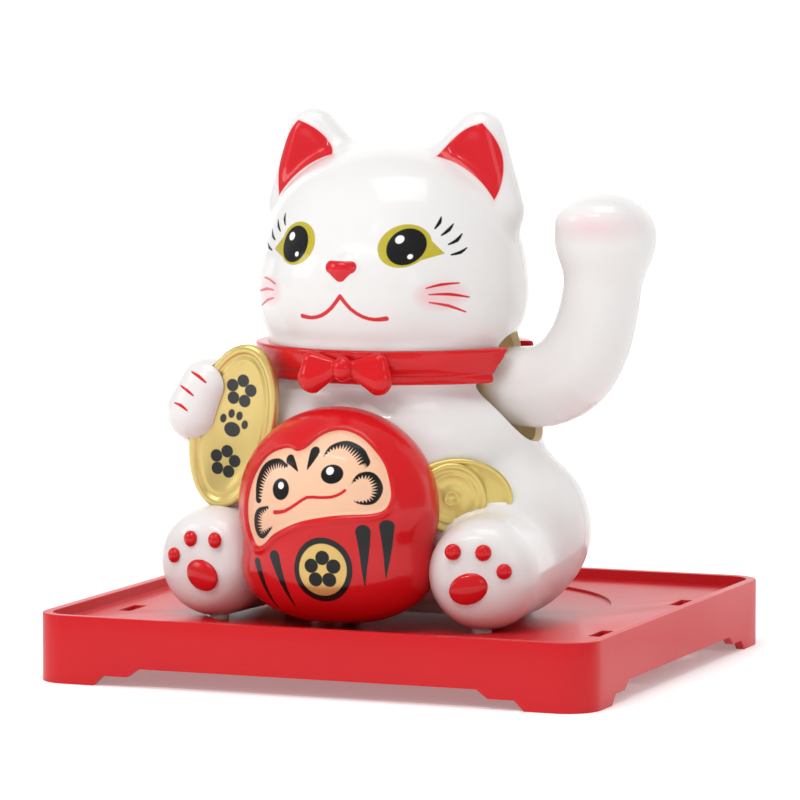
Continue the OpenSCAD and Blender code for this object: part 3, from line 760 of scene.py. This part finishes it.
def front_paint():
    mat, shader, w, broad, color = white_ground("white_shell_with_face")
    x, y, z = spot(w)
    side, fine = abs(x), wear(w, 900, 2)
    tip, inner_corner, low_corner = (25.4, 124.2), (14.4, 115.7), (29.7, 104.7)
    over, over_r = arc_through(inner_corner, (19.7, 121.7), tip)
    rear_edge, rear_r = arc_through(tip, (30.7, 114.6), low_corner)
    brow, brow_r = arc_through(inner_corner, (23, 111.8), low_corner)
    ear_red = oval(side, z, over, (over_r, over_r)).most(oval(side, z, rear_edge, (rear_r, rear_r)))
    ear_red = ear_red.most(0.0 - oval(side, z, brow, (brow_r, brow_r)))
    corner = stroke(side, z, (16.2, 93.9), (23.1, 92.2), 4.7, 0.15)
    gold_eye = oval(side, z, (14.5, 94.2), (5.9, 5.3)).least(corner)
    pupil = oval(side, z, EYE, (4.35, 4.5))
    shine = together(*[oval(x, z, (s * EYE[0] + dx, EYE[1] + dz), (r, r))
                       for s in (-1, 1) for dx, dz, r in ((-1.7, 1.8, 1.0), (1.4, -2.4, 0.6))])
    nose = stroke(side, z, (0, 88.9), (2.6, 88.9), 1.6, 1.6)
    nose = nose.least(stroke(side, z, (2.4, 88.9), (0, 86.9), 1.5, 1.7))
    red_lines = brushes(side, z, [*WHISKERS, MOUTH])
    blush = inside_of(oval(side, z, (23.2, 81.7), (4.6, 3.3)), 1.0) * 0.42
    front_side = inside_of(y + 2.0)
    halo = inside_of(ear_red - 0.25, 0.5) * 0.4
    color = (halo * front_side).tint(color, rgb(*BLUSH))
    color = (blush * front_side).tint(color, rgb(*BLUSH))
    red = inside_of(together(ear_red, nose, red_lines)) * front_side
    color = red.tint(color, rgb(*PAINT_RED))
    eye = inside_of(gold_eye) * front_side
    olive = (fine * 0.5).tint(rgb(*OLIVE), rgb(*(c * 0.7 for c in OLIVE)))
    color = eye.tint(color, olive)
    color = (inside_of(pupil.least(brushes(side, z, LASHES))) * front_side).tint(color, rgb(*BLACK))
    color = (inside_of(shine) * front_side).tint(color, rgb(*SNOW))
    feed(shader, Base_Color=color, Normal=bump(w, 0.3 * red.most(eye) + 0.05 * broad, 0.12, 0.0004))
    return mat


# The inner wall's warm beige is the bare unpainted plastic, deepened to stand in for painted shade inside the
# translucent shell. Its weak emission is a painted glow: it stands in for light that comes through the thin
# wall.
inner_wall = gloss("bare_inner_wall", (0.82, 0.69, 0.46), rough=0.5, coat=0.0)
feed(inner_wall.node_tree.nodes["Principled BSDF"], Emission_Color=rgb(0.8, 0.62, 0.36),
     Emission_Strength=0.1)
finish(front, front_paint(), CAT, "white_shell", "front_shell")
finish(rear, white_gloss, CAT, "white_shell", "rear_shell")
finish(door, white_gloss, COVER, "white_shell", "battery_cover")
finish(ribs, white_gloss, COVER, "white_shell")


def bare_inside_with_painted_glow(obj):
    """The faces of the inner wall get the bare plastic with its painted glow."""
    obj.data.materials.append(inner_wall)
    centres = np.zeros(len(obj.data.polygons) * 3)
    obj.data.polygons.foreach_get("center", centres)
    depth = cat(centres.reshape(-1, 3) / MM - ORIGIN)
    obj.data.polygons.foreach_set("material_index", (depth < -0.15).astype(np.int32))
    obj.data.update()


for piece in (front, rear):
    bare_inside_with_painted_glow(piece)

# %% [markdown]
# ## Collar and bow
# The collar is a painted band in relief, so it is the cat's own surface grown by one to three
# millimetres between two heights, with a crease along it. The bow is four rolls fanned out of a knot.

# %% Collar and bow
COLLAR_LOW, COLLAR_HIGH = 58.7, 67.6


def collar(p):
    crease = 0.35 * np.exp(-((p[:, 2] - 61.0) / 0.55) ** 2) + 0.12 * np.sin(0.25 * p[:, 0] + 0.9 * p[:, 2])
    flare = 1.4 + 1.9 * np.clip((np.abs(p[:, 0]) - 15) / 19, 0, 1) ** 1.5
    skin_at = cat(p)
    band = meet(skin_at - flare, -0.3 - skin_at, 0.5) + crease * 0.7
    middle, half = (COLLAR_LOW + COLLAR_HIGH) / 2, (COLLAR_HIGH - COLLAR_LOW) / 2
    f = meet(band, np.abs(p[:, 2] - middle) - half, 0.7)
    hole = np.hypot(p[:, 1] - AXIS[1], p[:, 2] - AXIS[2]) - 14.3
    return carve(f, np.maximum(hole, 24 - p[:, 0]), 0.5)


def bow(p):
    flat = (1, 1.6, 1)
    f = ball(p, (0, -39.3, 63.1), (2.7, 2.5, 3.2))
    for side in (-1, 1):
        q = p * np.array([side, 1, 1])
        lobe = press(roll(q, (2.2, -38.6, 63.6), (8.7, -37.6, 64.2), 1.6, 3.1, flat),
                     roll(q, (2.2, -38.6, 62.6), (8.9, -37.8, 60.4), 1.5, 3.9, flat), 1.2)
        fold = roll(q, (3, -41.1, 63.2), (7.5, -40.6, 62.2), 0.5, 0.15)
        lobe = carve(lobe, fold, 1.0)
        f = press(f, lobe, 0.7)
    return f


collar_band = clay("collar_band", collar, (-42, -44, 57), (42, 36, 69.5), 0.5 if STEP < 1 else 0.8, 2)
bow_knot = clay("bow_knot", bow, (-15, -44, 54), (15, -32, 70), 0.3 if STEP < 1 else 0.5, 2)
finish(collar_band, red_gloss, CAT, "red_gloss", "collar")
finish(bow_knot, red_gloss, CAT, "red_gloss", "bow")

# %% [markdown]
# ## Pads on the soles
# Eight domed pads are glued on the two soles. Each is a flattened ball half sunk into the sole.

# %% Pads
PADS = [((36.3, 9.7), (5.0, 3.9)), ((32.4, 18.9), (2.0, 2.1)), ((39.9, 18.8), (2.0, 2.1)),
        ((45.0, 14.2), (1.9, 2.0))]


def pads(p):
    f = np.full(len(p), 1e3)
    for side in (-1, 1):
        out = sole(p, side)
        across = (p[:, 0] * side) * 1.02
        for (x, z), (rx, rz) in PADS:
            tilt = -0.35 if rx > 3 else 0
            u, v = across - x * 1.02, p[:, 2] - z
            u, v = u * math.cos(tilt) - v * math.sin(tilt), u * math.sin(tilt) + v * math.cos(tilt)
            q = np.stack([u, v, out], axis=1)
            f = np.minimum(f, ball(q, (0, 0, -0.15), (rx, rz, 1.5)))
    return f


pad_set = clay("sole_pads", pads, (-50, -50, 3), (50, -40, 24), 0.4 if STEP < 1 else 0.7, 2)
finish(pad_set, red_gloss, CAT, "red_gloss", "paw_pads")

# %% [markdown]
# ## Arms
# The waving arm is one clay form parted at the same plane as the shells, with the bore for its shaft.
# The other arm is glued on and holds the coin.

# %% Waving arm in two halves
ARM_LINE = [(33, 0, 10.2), (41, 0.4, 10.6), (48, 4.2, 10.9), (53, 11.5, 10.5), (55.7, 20.5, 10.1),
            (56.9, 29, 10.2), (57.4, 36, 10.8)]


def waving_arm(p):
    q = p - np.array([0, AXIS[1], AXIS[2]])
    line = smooth_line(ARM_LINE, 3)
    f = ball(q, (33, 0, 0), (7.5, 10.2, 10.2))
    for a, b in zip(line, line[1:]):
        f = np.minimum(f, roll(q, (a[0], 0, a[1]), (b[0], 0, b[1]), a[2], b[2]))
    f = press(f, ball(q, (57.3, 0, 39.2), (12.9, 11.6, 10.9)), 5)
    return press(f, ball(q, (57.2, -3.6, 43), (11.4, 9.6, 6.7)), 2.5)


arm = clay("arm", waving_arm, (22, -17, 43), (73, 12, 108), STEP * 0.8)
shaft_low, shaft_high = box_of("arm_shaft")
bore = circle((axis_at[1], axis_at[2]), (shaft_high[2] - shaft_low[2]) / 2 + 0.05)
cut(arm, prism(bore, ORIGIN[0] + 20, shaft_high[0] + 0.1, axis=0))
arm_front = cut(copy_of(arm, "arm_front_skin"), block((0, -90, 0), (90, seam_y - SEAM, 200)), "INTERSECT")
crisp(arm_front, 40)
arm_rear = cut(arm, block((0, seam_y + SEAM, 0), (90, 90, 200)), "INTERSECT")
arm_rear.name = arm_rear.data.name = "arm_rear_skin"
crisp(arm_rear, 40)


def arm_paint():
    mat, shader, w, broad, ground = white_ground("white_arm_with_blush")
    x, y, z = spot(w)
    palm = inside_of(oval(x, z, (58.5, 98.8), (7.6, 2.6)), 2.2) * inside_of(y + 6, 4.0)
    feed(shader, Base_Color=(palm * 0.3).tint(ground, rgb(*BLUSH)), Normal=bump(w, broad, 0.04, 0.002))
    return mat


finish(arm_front, arm_paint(), ARM, "white_shell", "arm_front_half")
finish(arm_rear, white_gloss, ARM, "white_shell", "arm_rear_half")

# %% The arm that holds the coin
CLAWS = [((-42.2, 60.9, 0.2), (-39.9, 59.9, 0.42), (-37.9, 58.4, 0.25)),
         ((-45.4, 57.2, 0.2), (-43.2, 56.3, 0.42), (-41.2, 55.0, 0.25)),
         ((-46.7, 52.8, 0.2), (-44.6, 52.3, 0.42), (-42.8, 51.1, 0.25))]


def holding_arm(p):
    p = p - np.array([1.5, 0, 0])
    f = press(ball(p, (-29, -8, 50), (12.5, 13, 13)), roll(p, (-33, -12, 47), (-41.5, -20, 46), 11, 9.3), 4)
    f = press(f, roll(p, (-41.5, -20, 46), (-44.4, -27, 50), 9.3, 8.8), 3)
    return press(f, roll(p, (-44.8, -32, 50.4), (-41.6, -32.5, 57.2), 7.9, 7.0), 3)


COIN_AT, COIN_RADII, COIN_TURN = np.array([-32.0, -36.1, 47.0]), np.array([11.5, 21.5]), math.radians(14)


def coin_block(grow, low, high):
    """The coin's outline as a closed cutter, grown a little."""
    edge = circle((0, 0), COIN_RADII + grow)
    x = COIN_AT[0] + edge[:, 0] * math.cos(COIN_TURN) + edge[:, 1] * math.sin(COIN_TURN)
    z = COIN_AT[2] - edge[:, 0] * math.sin(COIN_TURN) + edge[:, 1] * math.cos(COIN_TURN)
    return prism(np.stack([x + ORIGIN[0], z + ORIGIN[2]], 1), low, high, axis=1)


paw = clay("coin_arm", lambda p: carve(holding_arm(p), cat(p) + 0.3, 0.1), (-56, -40, 34), (-14, 8, 68),
           STEP * 0.8, 2)
cut(paw, coin_block(0.08, COIN_AT[1] - 0.08, COIN_AT[1] + 3.3))


def paw_paint():
    mat, shader, w, broad, ground = white_ground("white_paw_with_claws")
    x, y, z = spot(w)
    claws = inside_of(brushes(x, z, CLAWS)) * inside_of(y + 27)
    feed(shader, Base_Color=claws.tint(ground, rgb(*PAINT_RED)),
         Normal=bump(w, 0.3 * claws + 0.05 * broad, 0.12, 0.0004))
    return mat


finish(crisp(paw, 40), paw_paint(), CAT, "white_shell", "holding_arm")

# %% [markdown]
# ## Coins
# A struck coin is a set of ellipses at different depths. The same ring profile makes the long coin in
# the paw and the plain one at the hip. The marks on the long coin are plain blossoms and a paw print.

# %% Struck ovals
def struck(name, radii, profile, back, place):
    """A closed disc from rings of (inset, height); place turns (across, up, out) into millimetres."""
    turn = np.arange(128) * 2 * math.pi / 128
    unit = np.stack([np.cos(turn), np.sin(turn)], 1)
    rings = [np.insert(unit * (np.array(radii) - inset), 2, height, axis=1)
             for inset, height in [(0.5, -back), (0, 0.5 - back)] + profile]
    n = len(unit)
    faces = [range(n)]
    for k in range(len(rings) - 1):
        faces += [(k * n + i, k * n + (i + 1) % n, (k + 1) * n + (i + 1) % n, (k + 1) * n + i)
                  for i in range(n)]
    faces.append(range((len(rings) - 1) * n, len(rings) * n))
    local = np.concatenate(rings)
    return crisp(outward(new_object(name, place(local), faces)), 50)


def coin_place(q):
    c, s = math.cos(COIN_TURN), math.sin(COIN_TURN)
    x, z = q[:, 0] * c + q[:, 1] * s, q[:, 1] * c - q[:, 0] * s
    return np.stack([x, -q[:, 2], z], 1) + COIN_AT + ORIGIN


LONG_RINGS = [(0, -0.85), (0.25, -0.3), (0.8, 0), (1.6, 0), (2.1, -0.3), (2.5, -0.75), (3.1, -0.85),
              (3.5, -0.55), (4.2, -0.5), (4.7, -0.85)]
coin = struck("long_coin", COIN_RADII, LONG_RINGS, 3.2, coin_place)
cut(coin, shrunk(outer, 0.3))


PETALS = 5


def blossom(x, z, at, size):
    """A flat flower: a ring of round petals about a small eye."""
    marks = [oval(x, z, (at[0] + 0.62 * size * math.sin(a), at[1] + 0.62 * size * math.cos(a)),
                  (size * 0.37,) * 2)
             for a in (2 * math.pi * k / PETALS for k in range(PETALS))]
    return together(*marks).most(0.0 - oval(x, z, at, (size * 0.22,) * 2))


def paw_print(x, z, at, size):
    toes = [oval(x, z, (at[0] + dx * size, at[1] + dz * size), (size * 0.2, size * 0.26))
            for dx, dz in ((-0.68, 0.22), (-0.25, 0.62), (0.25, 0.62), (0.68, 0.22))]
    return together(oval(x, z, (at[0], at[1] - 0.25 * size), (size * 0.5, size * 0.42)), *toes)


def coin_paint():
    mat, shader, w = material("gold_coin_with_marks")
    x, y, z = spot(w)
    c, s = math.cos(COIN_TURN), math.sin(COIN_TURN)
    across = (x - float(COIN_AT[0])) * c - (z - float(COIN_AT[2])) * s
    up = (x - float(COIN_AT[0])) * s + (z - float(COIN_AT[2])) * c
    broad, fine = wear(w, 90), wear(w, 1400, 4)
    marks = together(blossom(across, up, (0, 9.4), 4.4), paw_print(across, up, (0, 0.3), 4.5),
                     blossom(across, up, (0, -9.4), 4.4))
    ink = inside_of(marks) * inside_of(y + float(-COIN_AT[1] - 1.2))
    color = (broad * 0.7).tint(rgb(0.72, 0.56, 0.21), rgb(0.60, 0.45, 0.13))
    feed(shader, Base_Color=ink.tint(color, rgb(*BLACK)), Metallic=0.7 - ink * 0.7,
         Roughness=0.3 + 0.15 * fine,
         Coat_Weight=0.25, Coat_Roughness=0.12, Normal=bump(w, 0.3 * fine + 0.3 * ink, 0.25, 0.0003))
    return mat


finish(coin, coin_paint(), CAT, "gold_paint", "oval_coin")
HIP_TURN = math.radians(27)


def hip_place(q):
    c, s = math.cos(HIP_TURN), math.sin(HIP_TURN)
    at = np.array([27, -29, 30.5])
    return np.stack([q[:, 0] * c + q[:, 2] * s, q[:, 0] * s - q[:, 2] * c, q[:, 1]], 1) + at + ORIGIN


HIP_RINGS = [(0, -0.5), (0.2, -0.15), (0.6, 0), (1.1, 0), (1.5, -0.4)]
hip = struck("hip_coin_face", (14, 10), HIP_RINGS, 2.6, lambda q: hip_place(q + np.array([0, 0, 1.3])))
disc_at = np.array([-1.6, 0, 1.25])
disc = struck("hip_disc", (9, 9), [(0, 0.35), (0.3, 0.75), (0.8, 0.9), (1.3, 0.9), (1.6, 0.6), (2.4, 0.55),
                                   (2.7, 0.75), (3.1, 0.75), (3.4, 0.5), (6.9, 0.5), (7.2, 0.75), (7.6, 0.75),
                                   (7.9, 0.45)], 0.8, lambda q: hip_place(q + disc_at))
cut(hip, disc, "UNION")
cut(hip, shrunk(outer, 0.3))

# %% [markdown]
# ## The doll
# An egg with a sunken face inside a raised rim. The distance to the face's outline is kept on the
# mesh's points, so the modelling and the paint share one line.

# %% The face outline and the egg
DOLL = np.array([-1.5, -38.5, 0.0])
FACE = np.array([(-6.8, 43.4), (-9.4, 44), (-12, 43.5), (-15, 42.2), (-17.4, 39.8), (-19.4, 36.4),
                 (-20.6, 32.8), (-21.3, 28.4), (-20.8, 23), (-18.6, 19), (-16, 19.4), (-12.6, 22.2),
                 (-8.6, 24.3), (-4.4, 26), (-0.3, 27), (4.2, 27.8), (8.8, 28.2), (13.4, 28.4), (16.4, 29.4),
                 (17.6, 32.2), (17.2, 35.6), (15.6, 40), (12.9, 43.5), (9, 46.8), (4.8, 48.5), (1.2, 48.4),
                 (-1.8, 46.9), (-4.4, 44.4)])


def outline_distance(q, loop):
    """Signed distance from points to a closed loop, negative inside."""
    best, inside = np.full(len(q), 1e9), np.zeros(len(q), dtype=bool)
    for a, b in zip(loop, np.roll(loop, -1, axis=0)):
        t = np.clip((q - a) @ (b - a) / ((b - a) @ (b - a)), 0, 1)
        best = np.minimum(best, np.linalg.norm(q - a - t[:, None] * (b - a), axis=1))
        if a[1] != b[1]:
            crosses = (a[1] > q[:, 1]) != (b[1] > q[:, 1])
            inside ^= crosses & (q[:, 0] < (b[0] - a[0]) * (q[:, 1] - a[1]) / (b[1] - a[1]) + a[0])
    return np.where(inside, -best, best)


def smooth_loop(loop, count):
    """A closed smooth curve through the corners."""
    around = [np.roll(loop, k, axis=0) for k in (1, 0, -1, -2)]
    return np.concatenate([catmull(*four, count) for four in zip(*around)])


FACE = smooth_loop(FACE, 4)


def doll_egg(p):
    q = p - DOLL
    return press(ball(q, (0, 0, 28), (26.4, 19, 25.5)), ball(q, (0, 0, 12), (25.4, 18, 13.8)), 5)


def doll(p):
    f = doll_egg(p)
    front_side = p[:, 1] < DOLL[1] - 4
    edge = np.full(len(p), 9.0)
    near = front_side & (np.abs(f) < 4)
    edge[near] = outline_distance(p[near][:, [0, 2]], FACE)
    f = f + 1.0 / (1 + np.exp(np.clip(edge / 0.22, -30, 30))) - 0.45 * np.exp(-((edge - 0.9) / 0.8) ** 2)
    return meet(f, -1.0 - p[:, 2], 1.0)


figure = clay("doll", doll, (-31, -60, -3), (27, -17, 56), 0.5 if STEP < 1 else 0.9, 2)
cut(figure, shrunk(outer, 0.3))
cut(figure, coin_block(0.2, COIN_AT[1] - 0.2, COIN_AT[1] + 6))
cut(hip, shrunk(figure, 0.3))
points = np.zeros(len(figure.data.vertices) * 3)
figure.data.vertices.foreach_get("co", points)
points = points.reshape(-1, 3) / MM - ORIGIN
edge = outline_distance(points[:, [0, 2]], FACE)
edge = np.where(points[:, 1] < DOLL[1] - 4, edge, 9.0)


def keep_field(key, values):
    """Keeps one number for each point of the doll's mesh."""
    figure.data.attributes.new(key, "FLOAT", "POINT").data.foreach_set("value", values.astype(np.float32))


keep_field("face_edge", edge)
crisp(figure, 50)
finish(crisp(hip, 50), gold_paint, CAT, "gold_paint", "hip_coin")

# %% [markdown]
# The doll's paint: a peach face, black brows and curls, round eyes, a red mouth, black stripes on the
# body and a gold medal with a black rim. The mark on the medal is a plain blossom. The brows and curls
# have fine hairs along their inner side, drawn as a comb over the distance along each stroke.

# %% Doll paint
BROWS = [
    (1, [(-17.6, 30.7, 1.03), (-17.3, 35, 1.48), (-15.6, 38.5, 1.52), (-12.4, 40, 1.2), (-9.7, 39.5, 0.59)]),
    (1, [(0.5, 42.4, 0.23), (2.1, 44.4, 0.68), (5.4, 45.1, 1.03), (8.8, 43.3, 1.37), (10.7, 40.9, 1.29)]),
    (0, [(-8.7, 41.2, 1.2), (-7.4, 40.0, 0.75), (-6, 38.5, 0.16)]),
    (0, [(-2.1, 43.3, 1.3), (-2.7, 41.2, 0.8), (-3.4, 39.0, 0.16)]),
    (-1, [(-14.5, 28.9, 0.45), (-17.4, 27.1, 1.23), (-17.9, 23.6, 1.36), (-16.6, 21.8, 1.04),
          (-13, 24.2, 0.22)]),
    (1, [(8.5, 36, 0.22), (10.1, 37.7, 0.73), (12.7, 37.6, 1.0), (14.4, 34.7, 1.21), (13.6, 31.9, 0.94),
         (11.3, 31.2, 0.52), (9.1, 31.6, 0.15)])]


def ink_fields(q, strokes):
    """For each point: distance to the nearest stroke's edge, place across it and place along it."""
    edge, side, along = np.full(len(q), 9.0), np.zeros(len(q)), np.zeros(len(q))
    for hair, knots in strokes:
        line = smooth_line(knots, 4)
        run = 0.0
        for a, b in zip(line, line[1:]):
            step = b[:2] - a[:2]
            length = np.linalg.norm(step)
            t = np.clip((q - a[:2]) @ step / length ** 2, 0, 1)
            radius = a[2] + (b[2] - a[2]) * t
            off = q - a[:2] - t[:, None] * step
            d = np.linalg.norm(off, axis=1) - radius
            lateral = (off[:, 1] * step[0] - off[:, 0] * step[1]) / length / radius
            closer = d < edge
            edge[closer] = d[closer]
            side[closer] = (-hair * lateral)[closer] if hair else -1.0
            along[closer] = (run + t * length)[closer]
            run += length
    return edge, side, along


for key, values in zip(("ink_edge", "ink_side", "ink_along"), ink_fields(points[:, [0, 2]], BROWS)):
    keep_field(key, values)
LIPS = [(-12.1, 27.9, 0.57), (-9.1, 28.4, 0.47), (-5.7, 30.4, 0.41), (-2.8, 32.2, 0.4), (0.6, 32.3, 0.39),
        (3.6, 32.5, 0.39), (5.7, 33.3, 0.38), (6.9, 34.2, 0.38)]
MEDAL_AT = (1.5, 14.2)
STRIPES = [((-17.8, 14.9), (-13.4, 2.9), 1.05, 0.24), ((-12.1, 16.9), (-7.4, 4.3), 1.49, 0.19),
           ((11.7, 24), (11.9, 10.5), 1.8, 0.15), ((17, 25.3), (16.6, 12.4), 1.64, 0.14)]


def doll_paint():
    mat, shader, w = material("doll_paint")
    x, y, z = spot(w)
    broad, fine = wear(w, 80), wear(w, 1200, 3)
    rim, ink, across, along = (w.node("ShaderNodeAttribute", {"attribute_name": key}, out=2)
                               for key in ("face_edge", "ink_edge", "ink_side", "ink_along"))
    front_side = inside_of(y + 43)
    skin_mask = inside_of(rim + 0.1)
    comb = w.math("PINGPONG", along, 0.42) * (1 / 0.42)
    hairs = inside_of(comb * 1.1 - 1.05 + across * 0.75, 0.25)
    solid = inside_of(across + 0.05, 0.1)
    eyes = together(oval(x, z, (-10.5, 33.8), (2.5, 2.7)), oval(x, z, (3.3, 38.1), (2.85, 2.35)))
    black = (inside_of(ink) * solid.most(hairs)).most(inside_of(eyes))
    dots = together(oval(x, z, (-10.5, 34.7), (0.85, 0.85)), oval(x, z, (2.7, 38.9), (0.96, 0.96)))
    medal = oval(x, z, MEDAL_AT, (7.6, 8.2))
    gold = oval(x, z, MEDAL_AT, (6.2, 6.6))
    sign = blossom(x, z, MEDAL_AT, 4.9)
    dark = together(medal, *[stroke(x, z, *mark) for mark in STRIPES])
    color = (broad * 0.6).tint(rgb(*RED), rgb(*(c * 0.9 for c in RED)))
    color = skin_mask.tint(color, (broad * 0.5).tint(rgb(0.83, 0.53, 0.36), rgb(0.78, 0.46, 0.29)))
    color = (inside_of(brush(x, z, *LIPS)) * skin_mask).tint(color, rgb(*PAINT_RED))
    color = (inside_of(dark) * front_side).tint(color, rgb(*BLACK))
    leaf = inside_of(gold) * front_side
    color = leaf.tint(color, (fine * 0.6).tint(rgb(0.70, 0.49, 0.16), rgb(0.56, 0.36, 0.10)))
    color = (inside_of(sign) * front_side).tint(color, rgb(*BLACK))
    color = (black * skin_mask).tint(color, rgb(*BLACK))
    color = (inside_of(dots) * skin_mask).tint(color, rgb(*SNOW))
    feed(shader, Base_Color=color, Metallic=leaf * 0.5, Roughness=0.24 + 0.12 * skin_mask + 0.05 * broad,
         Coat_Weight=0.35 - 0.25 * skin_mask, Coat_Roughness=0.04, Specular_IOR_Level=0.15,
         Normal=bump(w, 0.3 * leaf + 0.04 * fine, 0.15, 0.0004))
    return mat


finish(figure, doll_paint(), CAT, "red_gloss", "daruma_doll")

# %% [markdown]
# ## Tray
# The tray keeps the shape of its part. A real moulding has no knife edges, so every edge is eased.

# %% Tray with eased edges
def eased(node, name, width, segments=3):
    """A merged copy of a part with rounded edges, in the frame's own space."""
    source = frame["nodes"][node]
    obj = new_object(name, [], [], smooth=False)
    bm = bmesh.new()
    bm.from_mesh(source.data)
    bm.transform(source.matrix_world)
    bmesh.ops.remove_doubles(bm, verts=bm.verts, dist=2e-6)
    bmesh.ops.dissolve_limit(bm, angle_limit=math.radians(0.5), verts=bm.verts, edges=bm.edges)
    bm.to_mesh(obj.data)
    bm.free()
    m = obj.modifiers.new("ease", "BEVEL")
    m.width, m.segments, m.limit_method, m.angle_limit = width * MM, segments, "ANGLE", math.radians(50)
    bake(obj)
    return crisp(outward(obj), 30)


tray = eased("tray", "tray_skin", 0.45)


def tray_material():
    mat, shader, w = material("red_tray_plastic")
    broad, fine = wear(w, 22), wear(w, 2200, 3)
    long_scratch = w.node("ShaderNodeTexNoise", {}, {"Vector": w.node("ShaderNodeMapping", {}, {
        "Vector": w.node("ShaderNodeTexCoord", out=3), "Scale": (30, 900, 900)}), "Scale": 1.0, "Detail": 2})
    color = (broad * 0.7).tint(rgb(*RED), rgb(0.52, 0.006, 0.012))
    feed(shader, Base_Color=color, Roughness=0.3 + 0.1 * broad + 0.05 * long_scratch, Coat_Weight=0.08,
         Coat_Roughness=0.1, Specular_IOR_Level=0.25, Normal=bump(w, fine + 0.4 * long_scratch, 0.06, 0.0003))
    return mat


finish(tray, tray_material(), CAT, "red_tray", "tray")

# %% [markdown]
# ## Wound wire
# The cell's spring and the coil are both wire wound about an upright axis, so one tree makes both.

# %% Coiled wire
def coil_tree():
    tree, given = new_tree("coiled_wire", ("Turns", "Start Radius", "End Radius", "Height", "Wire",
                                           "Across", "Along", "Up"))
    at = geo(tree, "ShaderNodeCombineXYZ", {"X": given["Across"], "Y": given["Along"], "Z": given["Up"]})
    path = geo(tree, "GeometryNodeCurveSpiral", {
        "Resolution": 40, "Rotations": given["Turns"], "Start Radius": given["Start Radius"],
        "End Radius": given["End Radius"], "Height": given["Height"]})
    return wired(tree, given, geo(tree, "GeometryNodeTransform", {"Geometry": path, "Translation": at}), 8)


def joined(a, b):
    """Two closed meshes kept as one piece."""
    bm = bmesh.new()
    for piece in (a, b):
        bm.from_mesh(piece.data)
    bm.to_mesh(a.data)
    bm.free()
    bpy.data.objects.remove(b)
    return crisp(a, 40)


def metal(name, color, rough, grain=0.15):
    """Bare metal: brushed fine grain and slow changes of sheen."""
    mat, shader, w = material(name)
    broad, fine = wear(w, 120), wear(w, 2600, 4)
    feed(shader, Base_Color=(broad * 0.8).tint(rgb(*color), rgb(*(c * 0.8 for c in color))), Metallic=1.0,
         Roughness=rough + 0.2 * fine, Normal=bump(w, fine, grain, 0.0002))
    return mat


steel = metal("bright_steel", (0.62, 0.62, 0.63), 0.22)
brass = metal("bush_brass", (0.72, 0.52, 0.22), 0.3)
copper = metal("enamelled_copper", (0.66, 0.27, 0.12), 0.25)
wound = coil_tree()
low, high = box_of("battery_spring")
middle = (low + high) / 2
spring = grown("spring_wire", wound, {
    "Turns": 4.5, "Start Radius": 4.2 * MM, "End Radius": 2.6 * MM, "Height": 2.4 * MM, "Wire": 0.32 * MM,
    "Across": middle[0] * MM, "Along": middle[1] * MM, "Up": (low[2] + 0.75) * MM, "Finish": steel})
spring = joined(spring, prism(circle(middle[:2], (high - low)[0] / 2), low[2], low[2] + 0.4))
finish(spring, steel, CAT, "steel", "battery_spring")
low, high = box_of("coil_winding")
middle, reach = (low + high) / 2, (high - low)[0] / 2
WIRE_R = 0.14
winding = grown("winding_wire", wound, {
    "Turns": (high[2] - low[2] - 2 * WIRE_R) / (2 * WIRE_R), "Start Radius": (reach - WIRE_R) * MM,
    "End Radius": (reach - WIRE_R) * MM, "Height": (high[2] - low[2] - 2 * WIRE_R) * MM, "Wire": WIRE_R * MM,
    "Across": middle[0] * MM, "Along": middle[1] * MM, "Up": (low[2] + WIRE_R) * MM, "Finish": copper})
winding = joined(winding, prism(circle(middle[:2], reach - WIRE_R), low[2], high[2]))
finish(winding, copper, CAT, "copper", "coil_winding")

# %% [markdown]
# ## The working parts
# The parts inside keep the frame's own shapes. Each gets the finish of its material.

# %% Finishes of the hidden parts
def board_material():
    mat, shader, w = material("green_board")
    x, y, _ = spot(w)
    fine = wear(w, 1500, 3)
    tracks = inside_of(abs(w.math("PINGPONG", x + 0.35 * y, 1.1) - 0.55) - 0.22, 0.08)
    feed(shader, Base_Color=tracks.tint(rgb(0.02, 0.16, 0.06), rgb(0.04, 0.27, 0.11)),
         Roughness=0.3 + 0.15 * fine, Coat_Weight=0.3, Normal=bump(w, tracks, 0.2, 0.0002))
    return mat


def sleeve_material():
    mat, shader, w = material("cell_sleeve")
    _, _, z = spot(w)
    top = inside_of(44.0 - z, 0.1)
    steel_tip = inside_of(54.2 - z, 0.1)
    color = top.tint(rgb(0.03, 0.06, 0.22), rgb(0.72, 0.42, 0.16))
    color = steel_tip.tint(color, rgb(0.6, 0.6, 0.6))
    feed(shader, Base_Color=color, Metallic=0.4 + 0.5 * steel_tip, Roughness=0.24 + 0.1 * wear(w, 400),
         Coat_Weight=0.3)
    return mat


inner = gloss("inner_plastic", (0.55, 0.545, 0.52), rough=0.42, coat=0.0, ripple=0.1)
black_plastic = gloss("black_plastic", (0.015, 0.015, 0.016), rough=0.35, coat=0.1)
DRESS = {
    steel: ["arm_shaft", "shaft_clip", "battery_contact", "board_screws", "bracket_screws", "plate_screws",
            "tray_screws", "counterweight"],
    brass: ["left_bush", "right_bush"],
    inner: ["base_plate", "left_bracket", "right_bracket", "pendulum_lever", "coil_bobbin", "battery_holder"],
    white_gloss: ["foot_pegs"],
    black_plastic: ["transistor", "capacitor", "switch_housing", "switch_knob"],
    board_material(): ["circuit_board"],
    sleeve_material(): ["battery_cell"],
    metal("nickel_magnet", (0.5, 0.5, 0.52), 0.16): ["magnet"],
    gloss("red_lead", (0.45, 0.01, 0.01), rough=0.4, coat=0.0): ["battery_red_lead", "switch_lead"],
    gloss("black_lead", (0.012, 0.012, 0.012), rough=0.4, coat=0.0): ["battery_black_lead"],
}
for dress, names in DRESS.items():
    for name in names:
        obj = frame["nodes"][name]
        if not obj.material_slots:
            obj.data.materials.append(dress)
        for holder in obj.material_slots:
            holder.material = dress
bpy.data.objects.remove(outer)
print("dressed", sum(len(names) for names in DRESS.values()), "parts")
